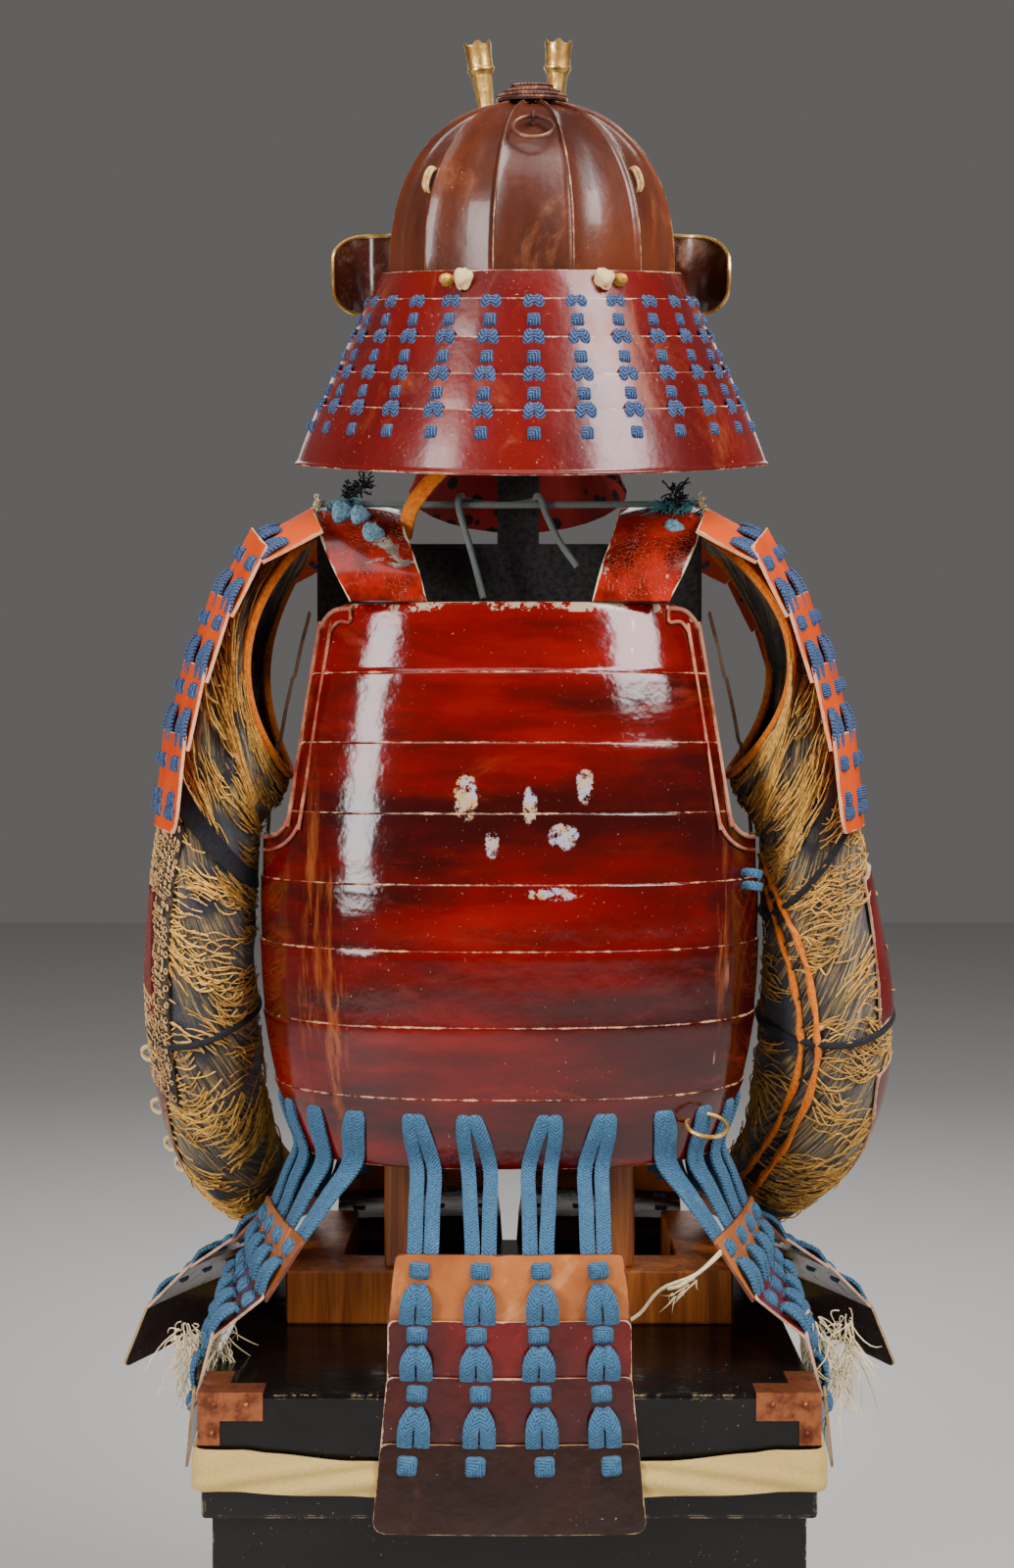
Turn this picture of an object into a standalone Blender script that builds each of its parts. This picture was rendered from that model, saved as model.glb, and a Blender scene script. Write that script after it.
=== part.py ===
"""Samurai armour on its storage chest and wooden stand.

Metres, +Z up. The armour's back faces -Y and its front +Y, and +X is the wearer's right-hand side.
The chest stands on z = 0, and the origin is under the middle of the whole object.
"""

import math

import bmesh
import bpy
from mathutils import Vector

# The whole object is slid along Y by this much, so that the origin is under its middle.
SLIDE_Y = -0.0411

GAP = 0.0003  # clearance between pieces that touch

# Chest: a box with a lid that fits over it
LID_WIDTH = 0.414
LID_BACK, LID_FRONT = -0.165, 0.235
LID_TOP = 0.480
LID_SKIRT = 0.085
LID_WALL = 0.006
LID_PANEL = 0.008
LID_FIT = 0.0008
BOX_WALL = 0.009
EDGE_ROUND = 0.003
CORNER_ARM = 0.042
CORNER_DROP = 0.034
CORNER_WIDTH = 0.0175
CORNER_PLATE = 0.0014

# Wooden stand
BEAM_LENGTH, BEAM_DEPTH, BEAM_HEIGHT = 0.335, 0.045, 0.040
BEAM_BACK = -0.012
FOOT_WIDTH, FOOT_FRONT = 0.040, 0.175
POST_X, POST_WIDTH, POST_DEPTH = 0.080, 0.028, 0.028
BAR_BOTTOM, BAR_TOP, BAR_PAD_TOP = 1.000, 1.063, 1.0840
BAR_HALF, BAR_PAD_INNER, BAR_DEPTH = 0.143, 0.086, 0.040
NECK_WIDTH = 0.031
HEAD_POST_TOP = 1.36
HEAD_BLOCK_DROP = 0.0022

# Cuirass: one row for each edge between the horizontal plates, from the top edge to the hem
CUIRASS_COLUMNS = ("z", "half_width", "back_depth", "front_depth")
CUIRASS_ROWS = (
    (1.014, 0.150, 0.093, 0.098),
    (0.965, 0.163, 0.106, 0.112),
    (0.916, 0.174, 0.115, 0.122),
    (0.867, 0.181, 0.121, 0.128),
    (0.818, 0.184, 0.124, 0.130),
    (0.772, 0.185, 0.124, 0.130),
    (0.719, 0.183, 0.121, 0.127),
    (0.668, 0.175, 0.114, 0.120),
    (0.617, 0.157, 0.102, 0.109),
)
CUIRASS_SQUARENESS = 2.5
CUIRASS_WALL = 0.0028
PLATE_LAP = 0.0012  # each plate's upper edge stands this far outside the plate above
LAP_HEIGHT = 0.0008
SEAM_Y = 0.010

# Helmet, in a frame of its own at the middle of the bowl's rim, tipped back on the head post
HELMET_AT = (0.0165, 0.0, 1.264)
HELMET_TILT = math.radians(12)
BOWL_HALF_WIDTH, BOWL_BACK, BOWL_FRONT, BOWL_HEIGHT = 0.1050, 0.118, 0.113, 0.1195
BOWL_SQUARENESS = 2.27
BOWL_PLATES = 12
BOWL_WALL = 0.0025
RIB_HEIGHT, RIB_HALF_ANGLE = 0.0024, 1.3
BOWL_SKIRT = 0.006
CROWN_HOLE_LIFT = 84.0  # degrees up the bowl at which the hole in its top starts

# Neck guard: one row for each edge, measured from the rim down, at the height that shows
NECK_GUARD_COLUMNS = ("drop", "half_width", "back_depth", "end_angle")
NECK_GUARD_ROWS = (
    (0.000, 0.1106, 0.1230, 114.0),
    (0.0255, 0.1225, 0.1347, 112.0),
    (0.0500, 0.1345, 0.1465, 109.0),
    (0.0745, 0.1475, 0.1595, 106.0),
    (0.0985, 0.1600, 0.1720, 103.0),
    (0.1340, 0.1775, 0.1890, 99.0),
)
NECK_LAME_WALL = 0.0018
NECK_LAME_LAP = 0.007
NECK_GUARD_END_DROOP = 0.010

# Shoulder guards: the line down the middle of the outer face, one row for each lame's upper edge
SHOULDER_GUARD_COLUMNS = ("x", "z")
SHOULDER_GUARD_ROWS = (
    (0.1456, 1.0906),
    (0.194, 1.0640),
    (0.222, 1.0170),
    (0.241, 0.9670),
    (0.255, 0.9160),
    (0.264, 0.8560),
)
SHOULDER_GUARD_WIDTH = 0.205
SHOULDER_GUARD_BEND = 0.030
SHOULDER_GUARD_WALL = 0.0022
SHOULDER_GUARD_LAP = 0.010

# Sleeves: one row for each ring of cloth, from the shoulder to the wrist. A ring runs from an inner
# point, beside the cuirass, to an outer point, and swing turns it from level towards the forearm.
SLEEVE_COLUMNS = ("inner_x", "inner_z", "outer_x", "outer_z", "middle_y", "swing", "half_depth")
SLEEVE_ROWS = (
    (0.1640, 0.892, 0.1450, 1.068, 0.000, 0, 0.058),
    (0.1695, 0.878, 0.1820, 1.045, 0.000, 0, 0.060),
    (0.1785, 0.865, 0.2100, 1.008, 0.000, 0, 0.060),
    (0.1865, 0.850, 0.2300, 0.965, 0.000, 0, 0.060),
    (0.1900, 0.832, 0.2430, 0.922, 0.000, 0, 0.060),
    (0.1910, 0.810, 0.2515, 0.880, 0.000, 0, 0.059),
    (0.1915, 0.785, 0.2620, 0.838, 0.000, 2, 0.058),
    (0.1920, 0.755, 0.2700, 0.790, 0.002, 5, 0.057),
    (0.1920, 0.720, 0.2745, 0.738, 0.006, 12, 0.057),
    (0.1910, 0.685, 0.2740, 0.692, 0.016, 25, 0.056),
    (0.1890, 0.645, 0.2710, 0.647, 0.036, 40, 0.052),
    (0.1870, 0.610, 0.2640, 0.612, 0.062, 50, 0.047),
    (0.1840, 0.582, 0.2540, 0.584, 0.092, 55, 0.042),
    (0.1810, 0.562, 0.2440, 0.564, 0.122, 57, 0.037),
    (0.1780, 0.547, 0.2340, 0.549, 0.150, 57, 0.033),
)
# How much further out the sleeve on each side is filled, halfway down
SLEEVE_FULLNESS = {-1: -0.006, 1: 0.012}
SLEEVE_WALL = 0.0028
SLEEVE_SIDES, SLEEVE_RINGS = 16, 20
SLEEVE_PUCKERS = 4
SLEEVE_PUCKER = 0.0012

# Tassets: one row for each edge between the lames, from the top, down the middle of the outer face.
# Each faces so many degrees round from the back, towards +X.
TASSET_COLUMNS = ("x", "y", "z", "faces", "half_width")
TASSET_BACK = (
    (0.000, -0.1630, 0.573, 0, 0.0765),
    (0.000, -0.1665, 0.529, 0, 0.0815),
    (0.000, -0.1700, 0.492, 0, 0.0820),
    (0.000, -0.1750, 0.449, 0, 0.0860),
    (0.000, -0.1810, 0.391, 0, 0.0915),
)
TASSET_BACK_SIDE = (
    (0.166, -0.054, 0.572, 72, 0.069),
    (0.188, -0.050, 0.533, 78, 0.072),
    (0.215, -0.045, 0.506, 86, 0.074),
    (0.2260, -0.040, 0.466, 88, 0.076),
    (0.2315, -0.037, 0.410, 88, 0.080),
)
TASSET_FRONT_SIDE = (
    (0.160, 0.070, 0.567, 118, 0.050),
    (0.192, 0.090, 0.532, 118, 0.055),
    (0.223, 0.108, 0.509, 118, 0.062),
    (0.254, 0.124, 0.476, 118, 0.070),
    (0.272, 0.134, 0.423, 118, 0.078),
)
TASSET_FRONT = (
    (0.076, 0.135, 0.572, 170, 0.064),
    (0.077, 0.166, 0.545, 172, 0.066),
    (0.078, 0.197, 0.528, 174, 0.068),
    (0.079, 0.236, 0.504, 176, 0.071),
    (0.079, 0.263, 0.455, 178, 0.074),
)
# Each tasset's rows, the side it is on and the cuirass angles of its outermost cord pairs
TASSETS = (
    ("back", TASSET_BACK, 1, -18, 18),
    ("back_left", TASSET_BACK_SIDE, -1, 34, 82),
    ("back_right", TASSET_BACK_SIDE, 1, 34, 82),
    ("side_left", TASSET_FRONT_SIDE, -1, 97, 135),
    ("side_right", TASSET_FRONT_SIDE, 1, 97, 135),
    ("front_left", TASSET_FRONT, -1, 145, 174),
    ("front_right", TASSET_FRONT, 1, 145, 174),
)
TASSET_WALL = 0.0024
TASSET_LAP = 0.0026
TASSET_BOW = 0.003
CORD_PAIRS = 4
CORD_WIDTH, CORD_THICKNESS = 0.0176, 0.0024
CORD_START_Z = 0.656

# Thigh guards and the cloth belt that ties them round the chest
THIGH_GUARD_TOP, THIGH_GUARD_BOTTOM = 0.414, 0.085
THIGH_GUARD_WALL = 0.003
BELT_HEIGHT, BELT_THICKNESS = 0.028, 0.0035
CHEST_CORNER = 0.004

MATERIALS = {
    "black_lacquer": ((0.012, 0.010, 0.010), 0.18, 0.0),
    "copper": ((0.36, 0.12, 0.05), 0.42, 0.8),
    "wood": ((0.33, 0.12, 0.04), 0.45, 0.0),
    "black_felt": ((0.03, 0.028, 0.028), 0.95, 0.0),
    "red_lacquer": ((0.20, 0.012, 0.010), 0.22, 0.0),
    "brown_lacquer": ((0.16, 0.035, 0.014), 0.30, 0.0),
    "orange_lacquer": ((0.50, 0.075, 0.015), 0.42, 0.0),
    "gilt": ((0.72, 0.44, 0.12), 0.35, 0.9),
    "iron": ((0.10, 0.045, 0.030), 0.45, 0.7),
    "brocade": ((0.24, 0.17, 0.07), 0.85, 0.0),
    "blue_cord": ((0.08, 0.20, 0.40), 0.85, 0.0),
    "green_cord": ((0.05, 0.08, 0.07), 0.85, 0.0),
    "mail_cloth": ((0.035, 0.025, 0.022), 0.75, 0.2),
    "belt_cloth": ((0.60, 0.47, 0.22), 0.85, 0.0),
}


def clear_scene():
    for obj in list(bpy.data.objects):
        bpy.data.objects.remove(obj)


def new_collection(name):
    collection = bpy.data.collections.new(name)
    bpy.context.scene.collection.children.link(collection)
    return collection


clear_scene()
ARMOUR = new_collection("samurai_armour")
CUTTERS = new_collection("cutters")
CUTTERS.hide_render = True

ROOT = bpy.data.objects.new("armour_origin", None)
ROOT.location = (0, SLIDE_Y, 0)
ARMOUR.objects.link(ROOT)

HELMET = bpy.data.objects.new("helmet_origin", None)
HELMET.location = HELMET_AT
HELMET.rotation_euler = (HELMET_TILT, 0, 0)
HELMET.parent = ROOT
ARMOUR.objects.link(HELMET)


def material(name):
    """The named finish as a Principled material, made once."""
    made = bpy.data.materials.get(name)
    if made:
        return made
    colour, roughness, metallic = MATERIALS[name]
    made = bpy.data.materials.new(name)
    made.use_nodes = True
    shader = made.node_tree.nodes["Principled BSDF"]
    shader.inputs["Base Color"].default_value = (*colour, 1)
    shader.inputs["Roughness"].default_value = roughness
    shader.inputs["Metallic"].default_value = metallic
    return made


def add(name, mesh, finish, parent=ROOT):
    """A named object for a finished mesh."""
    mesh.name = name
    obj = bpy.data.objects.new(name, mesh)
    obj.data.materials.append(material(finish))
    obj.parent = parent
    ARMOUR.objects.link(obj)
    return obj


def mesh_from(bm):
    """The bmesh as a mesh, shaded smooth with its edges kept sharp."""
    mesh = bpy.data.meshes.new("shape")
    bm.to_mesh(mesh)
    bm.free()
    mesh.shade_smooth()
    mesh.set_sharp_from_angle(angle=math.radians(40))
    return mesh


def as_cutter(obj):
    """Hides an object that only cuts or joins another."""
    for collection in obj.users_collection:
        collection.objects.unlink(obj)
    CUTTERS.objects.link(obj)
    obj.hide_render = True
    obj.display_type = "WIRE"
    return obj


def boolean(obj, other, operation):
    """Cuts or joins the object with another mesh, which is then a cutter."""
    modifier = obj.modifiers.new(operation.lower(), "BOOLEAN")
    modifier.operation = operation
    modifier.object = as_cutter(other)
    return obj


def bevel(obj, width, segments=2):
    modifier = obj.modifiers.new("rounded edges", "BEVEL")
    modifier.width = width
    modifier.segments = segments
    modifier.limit_method = "ANGLE"
    return obj


def box(name, low, high, finish, parent=ROOT):
    """A cuboid between two corners."""
    low, high = Vector(low), Vector(high)
    bm = bmesh.new()
    bmesh.ops.create_cube(bm, size=1)
    bmesh.ops.scale(bm, vec=high - low, verts=bm.verts)
    bmesh.ops.translate(bm, vec=(low + high) / 2, verts=bm.verts)
    return add(name, mesh_from(bm), finish, parent)


def flat_shape(name, outline, thickness, finish, lying=False):
    """A plate of the given outline in X and Z, its middle on y = 0, or lying flat in X and Y."""
    curve = bpy.data.curves.new(name, "CURVE")
    curve.dimensions = "2D"
    curve.fill_mode = "BOTH"
    curve.extrude = thickness / 2
    spline = curve.splines.new("POLY")
    spline.points.add(len(outline) - 1)
    for point, (x, z) in zip(spline.points, outline):
        point.co = (x, z, 0, 1)
    spline.use_cyclic_u = True
    flat = bpy.data.objects.new(name + "_outline", curve)
    ARMOUR.objects.link(flat)
    bpy.context.view_layer.update()
    graph = bpy.context.evaluated_depsgraph_get()
    mesh = bpy.data.meshes.new_from_object(flat.evaluated_get(graph))
    bpy.data.objects.remove(flat)
    bm = bmesh.new()
    bm.from_mesh(mesh)
    bmesh.ops.remove_doubles(bm, verts=bm.verts, dist=1e-6)
    for vert in bm.verts:
        if not lying:
            vert.co = (vert.co.x, -vert.co.z, vert.co.y)
    bm.to_mesh(mesh)
    bm.free()
    mesh.materials.clear()
    return add(name, mesh, finish)


def wall(name, surface, columns, rows, thickness, finish, inside, relief=None, closed=False, parent=ROOT):
    """A wall of cloth or plate.

    A grid takes its outer shape from surface(column, row), for whole numbers of each, and is thickened
    towards the point inside. A relief(column, row) then raises the outer face over a plain inside.
    A closed wall's last column is its first.
    """
    bm = bmesh.new()
    bmesh.ops.create_grid(bm, x_segments=columns, y_segments=rows, size=0.5)
    layers = {key: bm.verts.layers.int.new(key) for key in ("column", "row")}
    for vert in bm.verts:
        vert[layers["column"]] = round((vert.co.x + 0.5) * columns)
        vert[layers["row"]] = round((vert.co.y + 0.5) * rows)
        vert.co = surface(vert[layers["column"]], vert[layers["row"]])
    if closed:
        bmesh.ops.remove_doubles(bm, verts=bm.verts, dist=1e-7)
    bm.normal_update()
    facing = sum((face.calc_center_median() - Vector(inside)).dot(face.normal) for face in bm.faces)
    if facing < 0:
        bmesh.ops.reverse_faces(bm, faces=bm.faces)
    bm.normal_update()
    outer = {vert: vert.normal.copy() for vert in bm.verts}
    bmesh.ops.solidify(bm, geom=bm.faces[:], thickness=thickness)
    if relief:
        for vert, normal in outer.items():
            vert.co += normal * relief(vert[layers["column"]], vert[layers["row"]])
    bmesh.ops.recalc_face_normals(bm, faces=bm.faces)
    return add(name, mesh_from(bm), finish, parent)


def tube(name, points, radius, finish, cyclic=False, sides=2, parent=ROOT):
    """A round bar or cord along a line of points."""
    curve = bpy.data.curves.new(name, "CURVE")
    curve.dimensions = "3D"
    curve.bevel_depth = radius
    curve.bevel_resolution = sides
    curve.use_fill_caps = not cyclic
    spline = curve.splines.new("POLY")
    spline.points.add(len(points) - 1)
    for point, place in zip(spline.points, points):
        point.co = (*place, 1)
    spline.use_cyclic_u = cyclic
    curve.materials.append(material(finish))
    obj = bpy.data.objects.new(name, curve)
    obj.parent = parent
    ARMOUR.objects.link(obj)
    return obj


def mix(a, b, t):
    return a + (b - a) * t


def between(rows, t):
    """The row at a fractional place in a table of numbers, on a smooth curve through its rows."""
    count = len(rows) - 1
    t = min(max(t, 0), count)
    i = min(int(t), count - 1)
    f = t - i
    before, start, end, after = (rows[min(max(k, 0), count)] for k in (i - 1, i, i + 1, i + 2))
    return tuple(
        0.5 * (2 * s + (e - b) * f + (2 * b - 5 * s + 4 * e - a) * f * f + (3 * s - b - 3 * e + a) * f**3)
        for b, s, e, a in zip(before, start, end, after)
    )


def power(value, exponent):
    return math.copysign(abs(value) ** exponent, value)


def arc(centre, radius, start, end, count):
    """Points on a circle, angles in degrees."""
    angles = (math.radians(mix(start, end, k / count)) for k in range(count + 1))
    return [(centre[0] + radius * math.cos(a), centre[1] + radius * math.sin(a)) for a in angles]


# Chest and stand


def build_chest():
    half = LID_WIDTH / 2
    lid = box(
        "chest_lid", (-half, LID_BACK, LID_TOP - LID_SKIRT), (half, LID_FRONT, LID_TOP), "black_lacquer"
    )
    inset = LID_WALL
    hollow_top = LID_TOP - LID_PANEL
    hollow = box(
        "lid_hollow",
        (-half + inset, LID_BACK + inset, 0.3),
        (half - inset, LID_FRONT - inset, hollow_top),
        "black_lacquer",
    )
    boolean(bevel(lid, EDGE_ROUND), hollow, "DIFFERENCE")

    inset = LID_WALL + LID_FIT
    low = Vector((-half + inset, LID_BACK + inset, 0))
    high = Vector((half - inset, LID_FRONT - inset, hollow_top - GAP))
    body = box("chest_body", low, high, "black_lacquer")
    wall_in = Vector((BOX_WALL, BOX_WALL, BOX_WALL))
    inside = box("body_hollow", low + wall_in, high + Vector((-BOX_WALL, -BOX_WALL, 0.1)), "black_lacquer")
    boolean(body, inside, "DIFFERENCE")

    for side, sign_x in (("left", -1), ("right", 1)):
        for end, face_y, sign_y in (("back", LID_BACK, -1), ("front", LID_FRONT, 1)):
            build_lid_corner(f"lid_corner_{end}_{side}", sign_x, face_y, sign_y)


def build_lid_corner(name, sign_x, face_y, sign_y):
    """A copper corner: arms along the three edges that meet there, fitted over the lid."""
    corner = Vector((sign_x * LID_WIDTH / 2, face_y, LID_TOP))
    out = CORNER_PLATE + GAP

    def arm(label, x, y, z):
        start = corner + Vector((sign_x * out, sign_y * out, out))
        end = corner - Vector((sign_x * x, sign_y * y, z))
        low = Vector(map(min, start, end))
        high = Vector(map(max, start, end))
        return box(label, low, high, "copper")

    piece = arm(name, CORNER_ARM, CORNER_WIDTH, CORNER_WIDTH)
    boolean(piece, arm(name + "_side", CORNER_WIDTH, CORNER_ARM, CORNER_WIDTH), "UNION")
    boolean(piece, arm(name + "_post", CORNER_WIDTH * 0.75, CORNER_WIDTH * 0.75, CORNER_DROP), "UNION")
    half = LID_WIDTH / 2 + GAP
    grown = box(
        name + "_lid",
        (-half, LID_BACK - GAP, LID_TOP - LID_SKIRT - GAP),
        (half, LID_FRONT + GAP, LID_TOP + GAP),
        "copper",
    )
    boolean(piece, grown, "DIFFERENCE")


def build_stand():
    half = BEAM_LENGTH / 2
    beam_front = BEAM_BACK + BEAM_DEPTH
    inner = half - FOOT_WIDTH
    outline = [
        (-half, BEAM_BACK),
        (half, BEAM_BACK),
        (half, FOOT_FRONT),
        (inner, FOOT_FRONT),
        (inner, beam_front),
        (-inner, beam_front),
        (-inner, FOOT_FRONT),
        (-half, FOOT_FRONT),
    ]
    base = flat_shape("stand_base", outline, BEAM_HEIGHT, "wood", lying=True)
    base.location.z = LID_TOP + GAP + BEAM_HEIGHT / 2
    bevel(base, 0.0015, 1)

    beam_top = LID_TOP + GAP + BEAM_HEIGHT
    middle_y = BEAM_BACK + BEAM_DEPTH / 2
    for side, sign in (("left", -1), ("right", 1)):
        post = box(
            f"stand_post_{side}",
            (sign * POST_X - POST_WIDTH / 2, middle_y - POST_DEPTH / 2, beam_top + GAP),
            (sign * POST_X + POST_WIDTH / 2, middle_y + POST_DEPTH / 2, BAR_BOTTOM - GAP),
            "wood",
        )
        bevel(post, 0.0015, 1)

    profile = [
        (-BAR_HALF, BAR_BOTTOM),
        (BAR_HALF, BAR_BOTTOM),
        (BAR_HALF, BAR_PAD_TOP),
        (BAR_PAD_INNER, BAR_PAD_TOP),
        (BAR_PAD_INNER, BAR_TOP),
        (-BAR_PAD_INNER, BAR_TOP),
        (-BAR_PAD_INNER, BAR_PAD_TOP),
        (-BAR_HALF, BAR_PAD_TOP),
    ]
    bar = flat_shape("stand_shoulder_bar", profile, BAR_DEPTH, "black_felt")
    bar.location.y = middle_y
    bevel(bar, 0.003, 2)

    build_head_post(middle_y)


def build_head_post(middle_y):
    """A square post with a rounded head block that fills the top of the bowl."""
    x = HELMET_AT[0] - 0.010
    half = NECK_WIDTH / 2
    post = box(
        "stand_head_post",
        (x - half, middle_y - half, BAR_TOP + GAP),
        (x + half, middle_y + half, HEAD_POST_TOP),
        "black_felt",
    )
    bm = bmesh.new()
    bmesh.ops.create_uvsphere(bm, u_segments=20, v_segments=12, radius=1)
    slack = BOWL_WALL + 0.0032
    size = (BOWL_HALF_WIDTH - slack, BOWL_FRONT - slack, BOWL_HEIGHT - HEAD_BLOCK_DROP)
    bmesh.ops.scale(bm, vec=size, verts=bm.verts)
    head = add("head_block", mesh_from(bm), "black_felt", HELMET)
    keep = box("head_block_keep", (-0.056, -0.052, 0.080), (0.056, 0.060, 0.2), "black_felt", HELMET)
    boolean(head, keep, "INTERSECT")
    boolean(post, head, "UNION")


# Cuirass


def cuirass_row(z):
    """Half width, back depth and front depth at a height, straight between the plates' edges."""
    rows = CUIRASS_ROWS
    for upper, lower in zip(rows, rows[1:]):
        if z >= lower[0] or lower is rows[-1]:
            t = (z - lower[0]) / (upper[0] - lower[0])
            return tuple(mix(b, a, t) for a, b in zip(upper[1:], lower[1:]))


def cuirass_point(angle, z, out=0.0):
    """A point on the cuirass's outer face, the angle in degrees from the middle of the back towards +X."""
    half_width, back, front = cuirass_row(z)
    a = math.radians(angle)
    exponent = 2 / CUIRASS_SQUARENESS
    depth = back + SEAM_Y if math.cos(a) >= 0 else front - SEAM_Y
    return Vector(
        (
            (half_width + out) * power(math.sin(a), exponent),
            SEAM_Y - (depth + out) * power(math.cos(a), exponent),
            z,
        )
    )


def plate_rows():
    """(z, lap) down the cuirass: each plate starts proud at its upper edge and ends flush at its lower."""
    rows = []
    for upper, lower in zip(CUIRASS_ROWS, CUIRASS_ROWS[1:]):
        rows.append((upper[0], PLATE_LAP))
        rows.append((lower[0] + LAP_HEIGHT, 0.0))
    rows[-1] = (CUIRASS_ROWS[-1][0], 0.0)
    return rows


def armhole_outline(sign, inner_top, inner_bottom, floor_z, shoulder_z, side_x=0.225):
    """The outline, in X and Z, of what an armhole cuts from one side of a breast or back plate."""
    radius = 0.026
    lower = arc((inner_bottom + 0.022, floor_z + 0.022), 0.022, 270, 185, 5)
    upper = arc((inner_top - radius, shoulder_z - radius), radius, 5, 90, 5)
    points = [(side_x, floor_z), *lower, *upper, (inner_top - radius, 1.10), (side_x, 1.10)]
    return [(sign * x, z) for x, z in points]


def build_cuirass():
    rows = plate_rows()
    columns = 20
    slit = 0.0002 / 0.185

    def shell(name, start, end):
        def surface(column, row):
            z, _ = rows[row]
            return cuirass_point(mix(start, end, column / columns), z)

        def relief(column, row):
            return rows[row][1]

        middle = (0, SEAM_Y, 0.8)
        return wall(name, surface, columns, len(rows) - 1, CUIRASS_WALL, "red_lacquer", middle, relief)

    edge = 90 - math.degrees(slit)
    back = shell("cuirass_back", -edge, edge)
    front = shell("cuirass_front", edge + 2 * math.degrees(slit), 360 - edge - 2 * math.degrees(slit))

    for label, sign in (("left", -1), ("right", 1)):
        cut_back = flat_shape(
            f"armhole_back_{label}", armhole_outline(sign, 0.137, 0.155, 0.848, 1.0145), 0.30, "red_lacquer"
        )
        cut_back.location.y = -0.15 + SEAM_Y
        boolean(back, cut_back, "DIFFERENCE")
        cut_front = flat_shape(
            f"armhole_front_{label}", armhole_outline(sign, 0.118, 0.148, 0.846, 1.020), 0.30, "red_lacquer"
        )
        cut_front.location.y = 0.15 + SEAM_Y - 0.001
        boolean(front, cut_front, "DIFFERENCE")

    neck = [(-0.085, 1.1), (-0.085, 1.0), *arc((0, 1.0), 0.062, 200, 340, 8), (0.085, 1.0), (0.085, 1.1)]
    neck_cut = flat_shape("neck_cut", neck, 0.30, "red_lacquer")
    neck_cut.location.y = 0.15 + SEAM_Y
    boolean(front, neck_cut, "DIFFERENCE")

    for side, sign in (("left", -1), ("right", 1)):
        build_shoulder_strap(f"shoulder_strap_{side}", sign)


STRAP_COLUMNS = ("inner_x", "outer_x", "y", "z")
STRAP_ROWS = (
    (0.058, 0.112, -0.0915, 1.0150),
    (0.064, 0.124, -0.0840, 1.0380),
    (0.074, 0.136, -0.0640, 1.0650),
    (0.080, 0.142, -0.0320, 1.0840),
    (0.082, 0.143, 0.0020, 1.0872),
    (0.082, 0.141, 0.0350, 1.0860),
    (0.082, 0.134, 0.0620, 1.0700),
    (0.085, 0.122, 0.0820, 1.0420),
    (0.087, 0.112, 0.0850, 1.0160),
)
STRAP_WALL = 0.0028


def build_shoulder_strap(name, sign):
    """A stiff strap from the back plate over the shoulder to the breast plate."""
    columns, rows = 3, 16

    def surface(column, row):
        inner, outer, y, z = between(STRAP_ROWS, row / rows * (len(STRAP_ROWS) - 1))
        across = column / columns
        crown = 0.004 * (1 - (2 * across - 1) ** 2)
        return Vector((sign * mix(inner, outer, across), y, z + crown * math.sin(math.pi * row / rows)))

    wall(name, surface, columns, rows, STRAP_WALL, "red_lacquer", (sign * 0.10, 0, 0.9))


# Helmet


def bowl_point(angle, lift, out=0.0):
    """A point on the bowl: degrees round from the back towards +X, and degrees up from the rim."""
    a, e = math.radians(angle), math.radians(lift)
    depth = BOWL_BACK if math.cos(a) >= 0 else BOWL_FRONT
    reach = power(math.cos(e), 2 / BOWL_SQUARENESS)
    return Vector(
        (
            (BOWL_HALF_WIDTH + out) * math.sin(a) * reach,
            -(depth + out) * math.cos(a) * reach,
            (BOWL_HEIGHT + out) * power(math.sin(e), 2 / BOWL_SQUARENESS),
        )
    )


def build_bowl():
    """Twelve plates between raised ribs, with a short upright skirt under the rim."""
    step = 360 / BOWL_PLATES
    offsets = (-RIB_HALF_ANGLE, 0, RIB_HALF_ANGLE, step / 2)
    lifts = (None, 0, 14, 28, 42, 56, 70, CROWN_HOLE_LIFT)

    def surface(column, row):
        plate, place = divmod(column % (4 * BOWL_PLATES), 4)
        angle = (plate + 0.5) * step + offsets[place]
        if lifts[row] is None:
            return bowl_point(angle, 0) - Vector((0, 0, BOWL_SKIRT))
        return bowl_point(angle, lifts[row])

    def relief(column, row):
        return RIB_HEIGHT if column % 4 == 1 and row > 0 else 0.0

    wall(
        "helmet_bowl",
        surface,
        4 * BOWL_PLATES,
        len(lifts) - 1,
        BOWL_WALL,
        "brown_lacquer",
        (0, 0, 0),
        relief,
        closed=True,
        parent=HELMET,
    )


def turned(name, profile, steps, finish, parent):
    """A turned piece: a profile of (radius, height) down its outer side, screwed round Z."""
    bm = bmesh.new()
    verts = [bm.verts.new((r, 0, z)) for r, z in profile]
    for a, b in zip(verts, verts[1:]):
        bm.edges.new((a, b))
    obj = add(name, mesh_from(bm), finish, parent)
    screw = obj.modifiers.new("turn", "SCREW")
    screw.steps = steps
    screw.render_steps = steps
    screw.use_merge_vertices = True
    screw.merge_threshold = 0.00001
    screw.use_smooth_shade = True
    return obj


def build_crown():
    """The stepped boss over the hole in the top of the bowl."""
    seat = BOWL_HEIGHT + RIB_HEIGHT
    profile = (
        (0.0, seat + 0.0115),
        (0.010, seat + 0.0110),
        (0.0165, seat + 0.0085),
        (0.0170, seat + 0.0060),
        (0.0205, seat + 0.0050),
        (0.0210, seat + 0.0028),
        (0.0250, seat + 0.0018),
        (0.0255, seat - 0.0012),
        (0.0150, seat + 0.0002),
        (0.0, seat + 0.0004),
    )
    turned("helmet_crown", profile, 20, "iron", HELMET)


RING_LIFT = 55.0
RING_RADIUS, RING_WIRE = 0.0140, 0.0014
RING_EYE_OUT = 0.0047


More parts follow.
